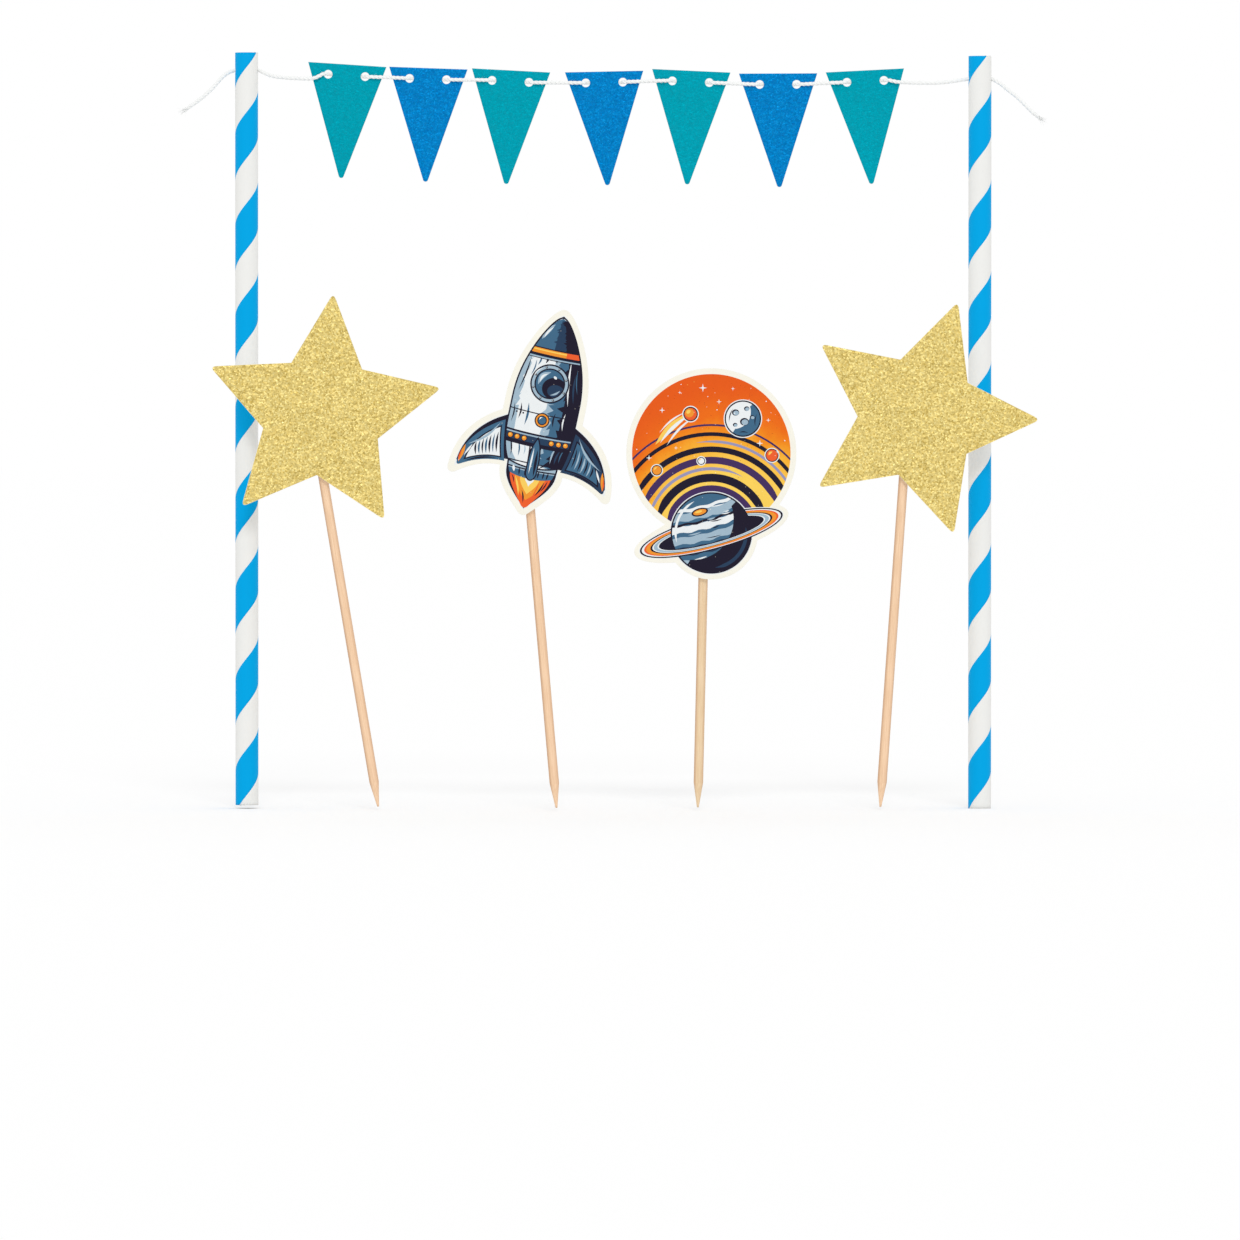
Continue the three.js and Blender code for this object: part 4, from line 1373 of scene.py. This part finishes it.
pad_width = 9.0
pad_length = 14.0
pad_below_top = 1.5
card_back = -2.65
pad_back = -0.35
pad_cuts = 27
pad_bulge = 0.22
pad_shoulder = 0.3
pad_shoulder_at = 1.9
pad_shoulder_width = 0.75
pad_clearance = 0.02
pad_side_share = 0.08
pad_end_share = 0.05
glue_thickness = 0.16


def pad_mesh(seed):
    """The pad in its pick's frame, its front on the card, with the groove that the pick presses into it."""
    mesh = bmesh.new()
    bmesh.ops.create_cube(mesh, size=1.0)
    bmesh.ops.subdivide_edges(mesh, edges=mesh.edges[:], cuts=pad_cuts, use_grid_fill=True)
    hug = pick_radius + pad_clearance
    for v in mesh.verts:
        across, deep, up = v.co
        x, z = across * pad_width, up * pad_length
        lying = pad_back + pad_shoulder * math.exp(-((abs(x) - pad_shoulder_at) / pad_shoulder_width) ** 2)
        pressed = -math.sqrt(hug * hug - x * x) if abs(x) < hug else 0.0
        back = min(lying, pressed)
        rough = noise.noise(Vector((x * 0.8, z * 0.8, deep * 3 + seed * 7.0)))
        lively = 0.05 * noise.noise(Vector((x * 3.1, z * 3.1, deep * 6 + seed * 5.0)))
        swell = pad_bulge * (1 - (2 * deep) ** 2)
        near_side = max(0.0, (abs(across) - 0.5 + pad_side_share) / pad_side_share)
        near_end = max(0.0, (abs(up) - 0.5 + pad_end_share) / pad_end_share)
        side = math.copysign(near_side * (swell + 0.1 * rough + lively), across)
        end = math.copysign(near_end * (swell + 0.12 * rough + lively), up)
        share = deep + 0.5
        away = share * 0.05 * rough * min(1.0, abs(x) / 3.0)
        depth = card_back + (back - card_back) * share + away
        v.co = (x + side, depth, z + end - pad_below_top - pad_length / 2)
    for face in mesh.faces:
        sideways = max(abs(face.normal.x), abs(face.normal.z))
        glued = sideways > 0.6 and face.calc_center_median().y < card_back + glue_thickness
        face.smooth = True
        face.material_index = 1 if glued else 0
    bmesh.ops.recalc_face_normals(mesh, faces=mesh.faces[:])
    return taken_from(mesh, "pad")


def foam_material():
    """White closed-cell foam, full of fine cells that show as pits where it is cut, with painted shade in
    each pit.
    """
    material, tree, shader = new_material("white foam", 0.85, 0.15)
    where = millimetres(tree)
    cells = place_cells(tree, where, 4.2)["Distance"]
    uneven = place_noise(tree, where, 1.2, 3.0)
    # Painted shade in the pit of each cut cell.
    painted_pit_shade = place_range(tree, cells, 0.1, 0.6, 0.5, 0.0)
    tint = place_mix(tree, painted_pit_shade, colour(246, 245, 240), colour(216, 214, 206))
    tint = place_mix(tree, place_range(tree, uneven, 0.4, 0.8, 0.0, 0.3), tint, colour(238, 232, 220))
    feed(tree, shader, {"Base Color": tint, "Normal": relief(tree, cells, 0.12)})
    return material


foam = foam_material()
glue = paper_material("glue layer", colour(232, 222, 190), 0.35, 0.6, 0.1, 0.4)
for seed, (name, top) in enumerate(pick_top.items()):
    pad = new_piece("foam_pad_" + name, pad_mesh(seed), (foam, glue), top, pick_lean[name])
    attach(pad, name)
    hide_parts(name + "_pad")


# Setting
# A pale floor under the straws' feet and a plain white room with soft light from the front and a little from
# the right, seen from the front by a long lens at the photograph's angle.

picture_width = 324.9
picture_middle = Vector((1.76, 0, 20.96))
view_distance = 3000.0
view_elevation = 1.0
floor_level = -28.4
floor_reach = 20000
floor_glow = 0.03
room_light = 0.88
key_light = 0.62
key_spread = 14
key_way = Vector((-0.06, 0.9, -0.45))
film_width = 36
farthest_seen = 60


def seen_directly(tree):
    """1 for what the camera sees itself or in a reflection, and 0 for what lights the object."""
    rays = place_node(tree, "LightPath")
    reflected = place_math(tree, "MAXIMUM", rays["Is Glossy Ray"], rays["Is Transmission Ray"])
    return place_math(tree, "MAXIMUM", rays["Is Camera Ray"], reflected)


floor_white, tree, shader = new_material("floor white", 1.0, 0.0)
direct = seen_directly(tree)
feed(tree, shader, {
    "Base Color": place_mix(tree, direct, [0.8, 0.8, 0.8, 1], [1, 1, 1, 1]),
    "Emission Color": place_mix(tree, direct, [0, 0, 0, 1], [floor_glow, floor_glow, floor_glow, 1]),
    "Emission Strength": 1.0,
})
floor_mesh = bmesh.new()
bmesh.ops.create_grid(floor_mesh, x_segments=1, y_segments=1, size=floor_reach)
floor = new_piece("floor", taken_from(floor_mesh, "floor"), [floor_white], (0, 0, floor_level))

world = bpy.data.worlds.new("white room")
world.use_nodes = True
bpy.context.scene.world = world
tree = world.node_tree
strength = place_math(tree, "MULTIPLY_ADD", seen_directly(tree), 1 - room_light, room_light)
feed(tree, tree.nodes["Background"].inputs, {"Color": (1, 1, 1, 1), "Strength": strength})

key = bpy.data.objects.new("key", bpy.data.lights.new("key", "SUN"))
key.data.energy = key_light
key.data.angle = math.radians(key_spread)
key.rotation_mode = "QUATERNION"
key.rotation_quaternion = key_way.to_track_quat("-Z", "Y")
bpy.context.scene.collection.objects.link(key)

camera = bpy.data.objects.new("camera", bpy.data.cameras.new("camera"))
camera.data.sensor_width = film_width
camera.data.lens = film_width * view_distance / picture_width
rise = math.radians(view_elevation)
back = Vector((0, -math.cos(rise), math.sin(rise)))
camera.location = (picture_middle + back * view_distance) * 0.001
camera.rotation_mode = "QUATERNION"
camera.rotation_quaternion = (-back).to_track_quat("-Z", "Y")
camera.data.clip_end = farthest_seen
bpy.context.scene.collection.objects.link(camera)
bpy.context.scene.camera = camera
bpy.context.scene.view_settings.view_transform = "Standard"
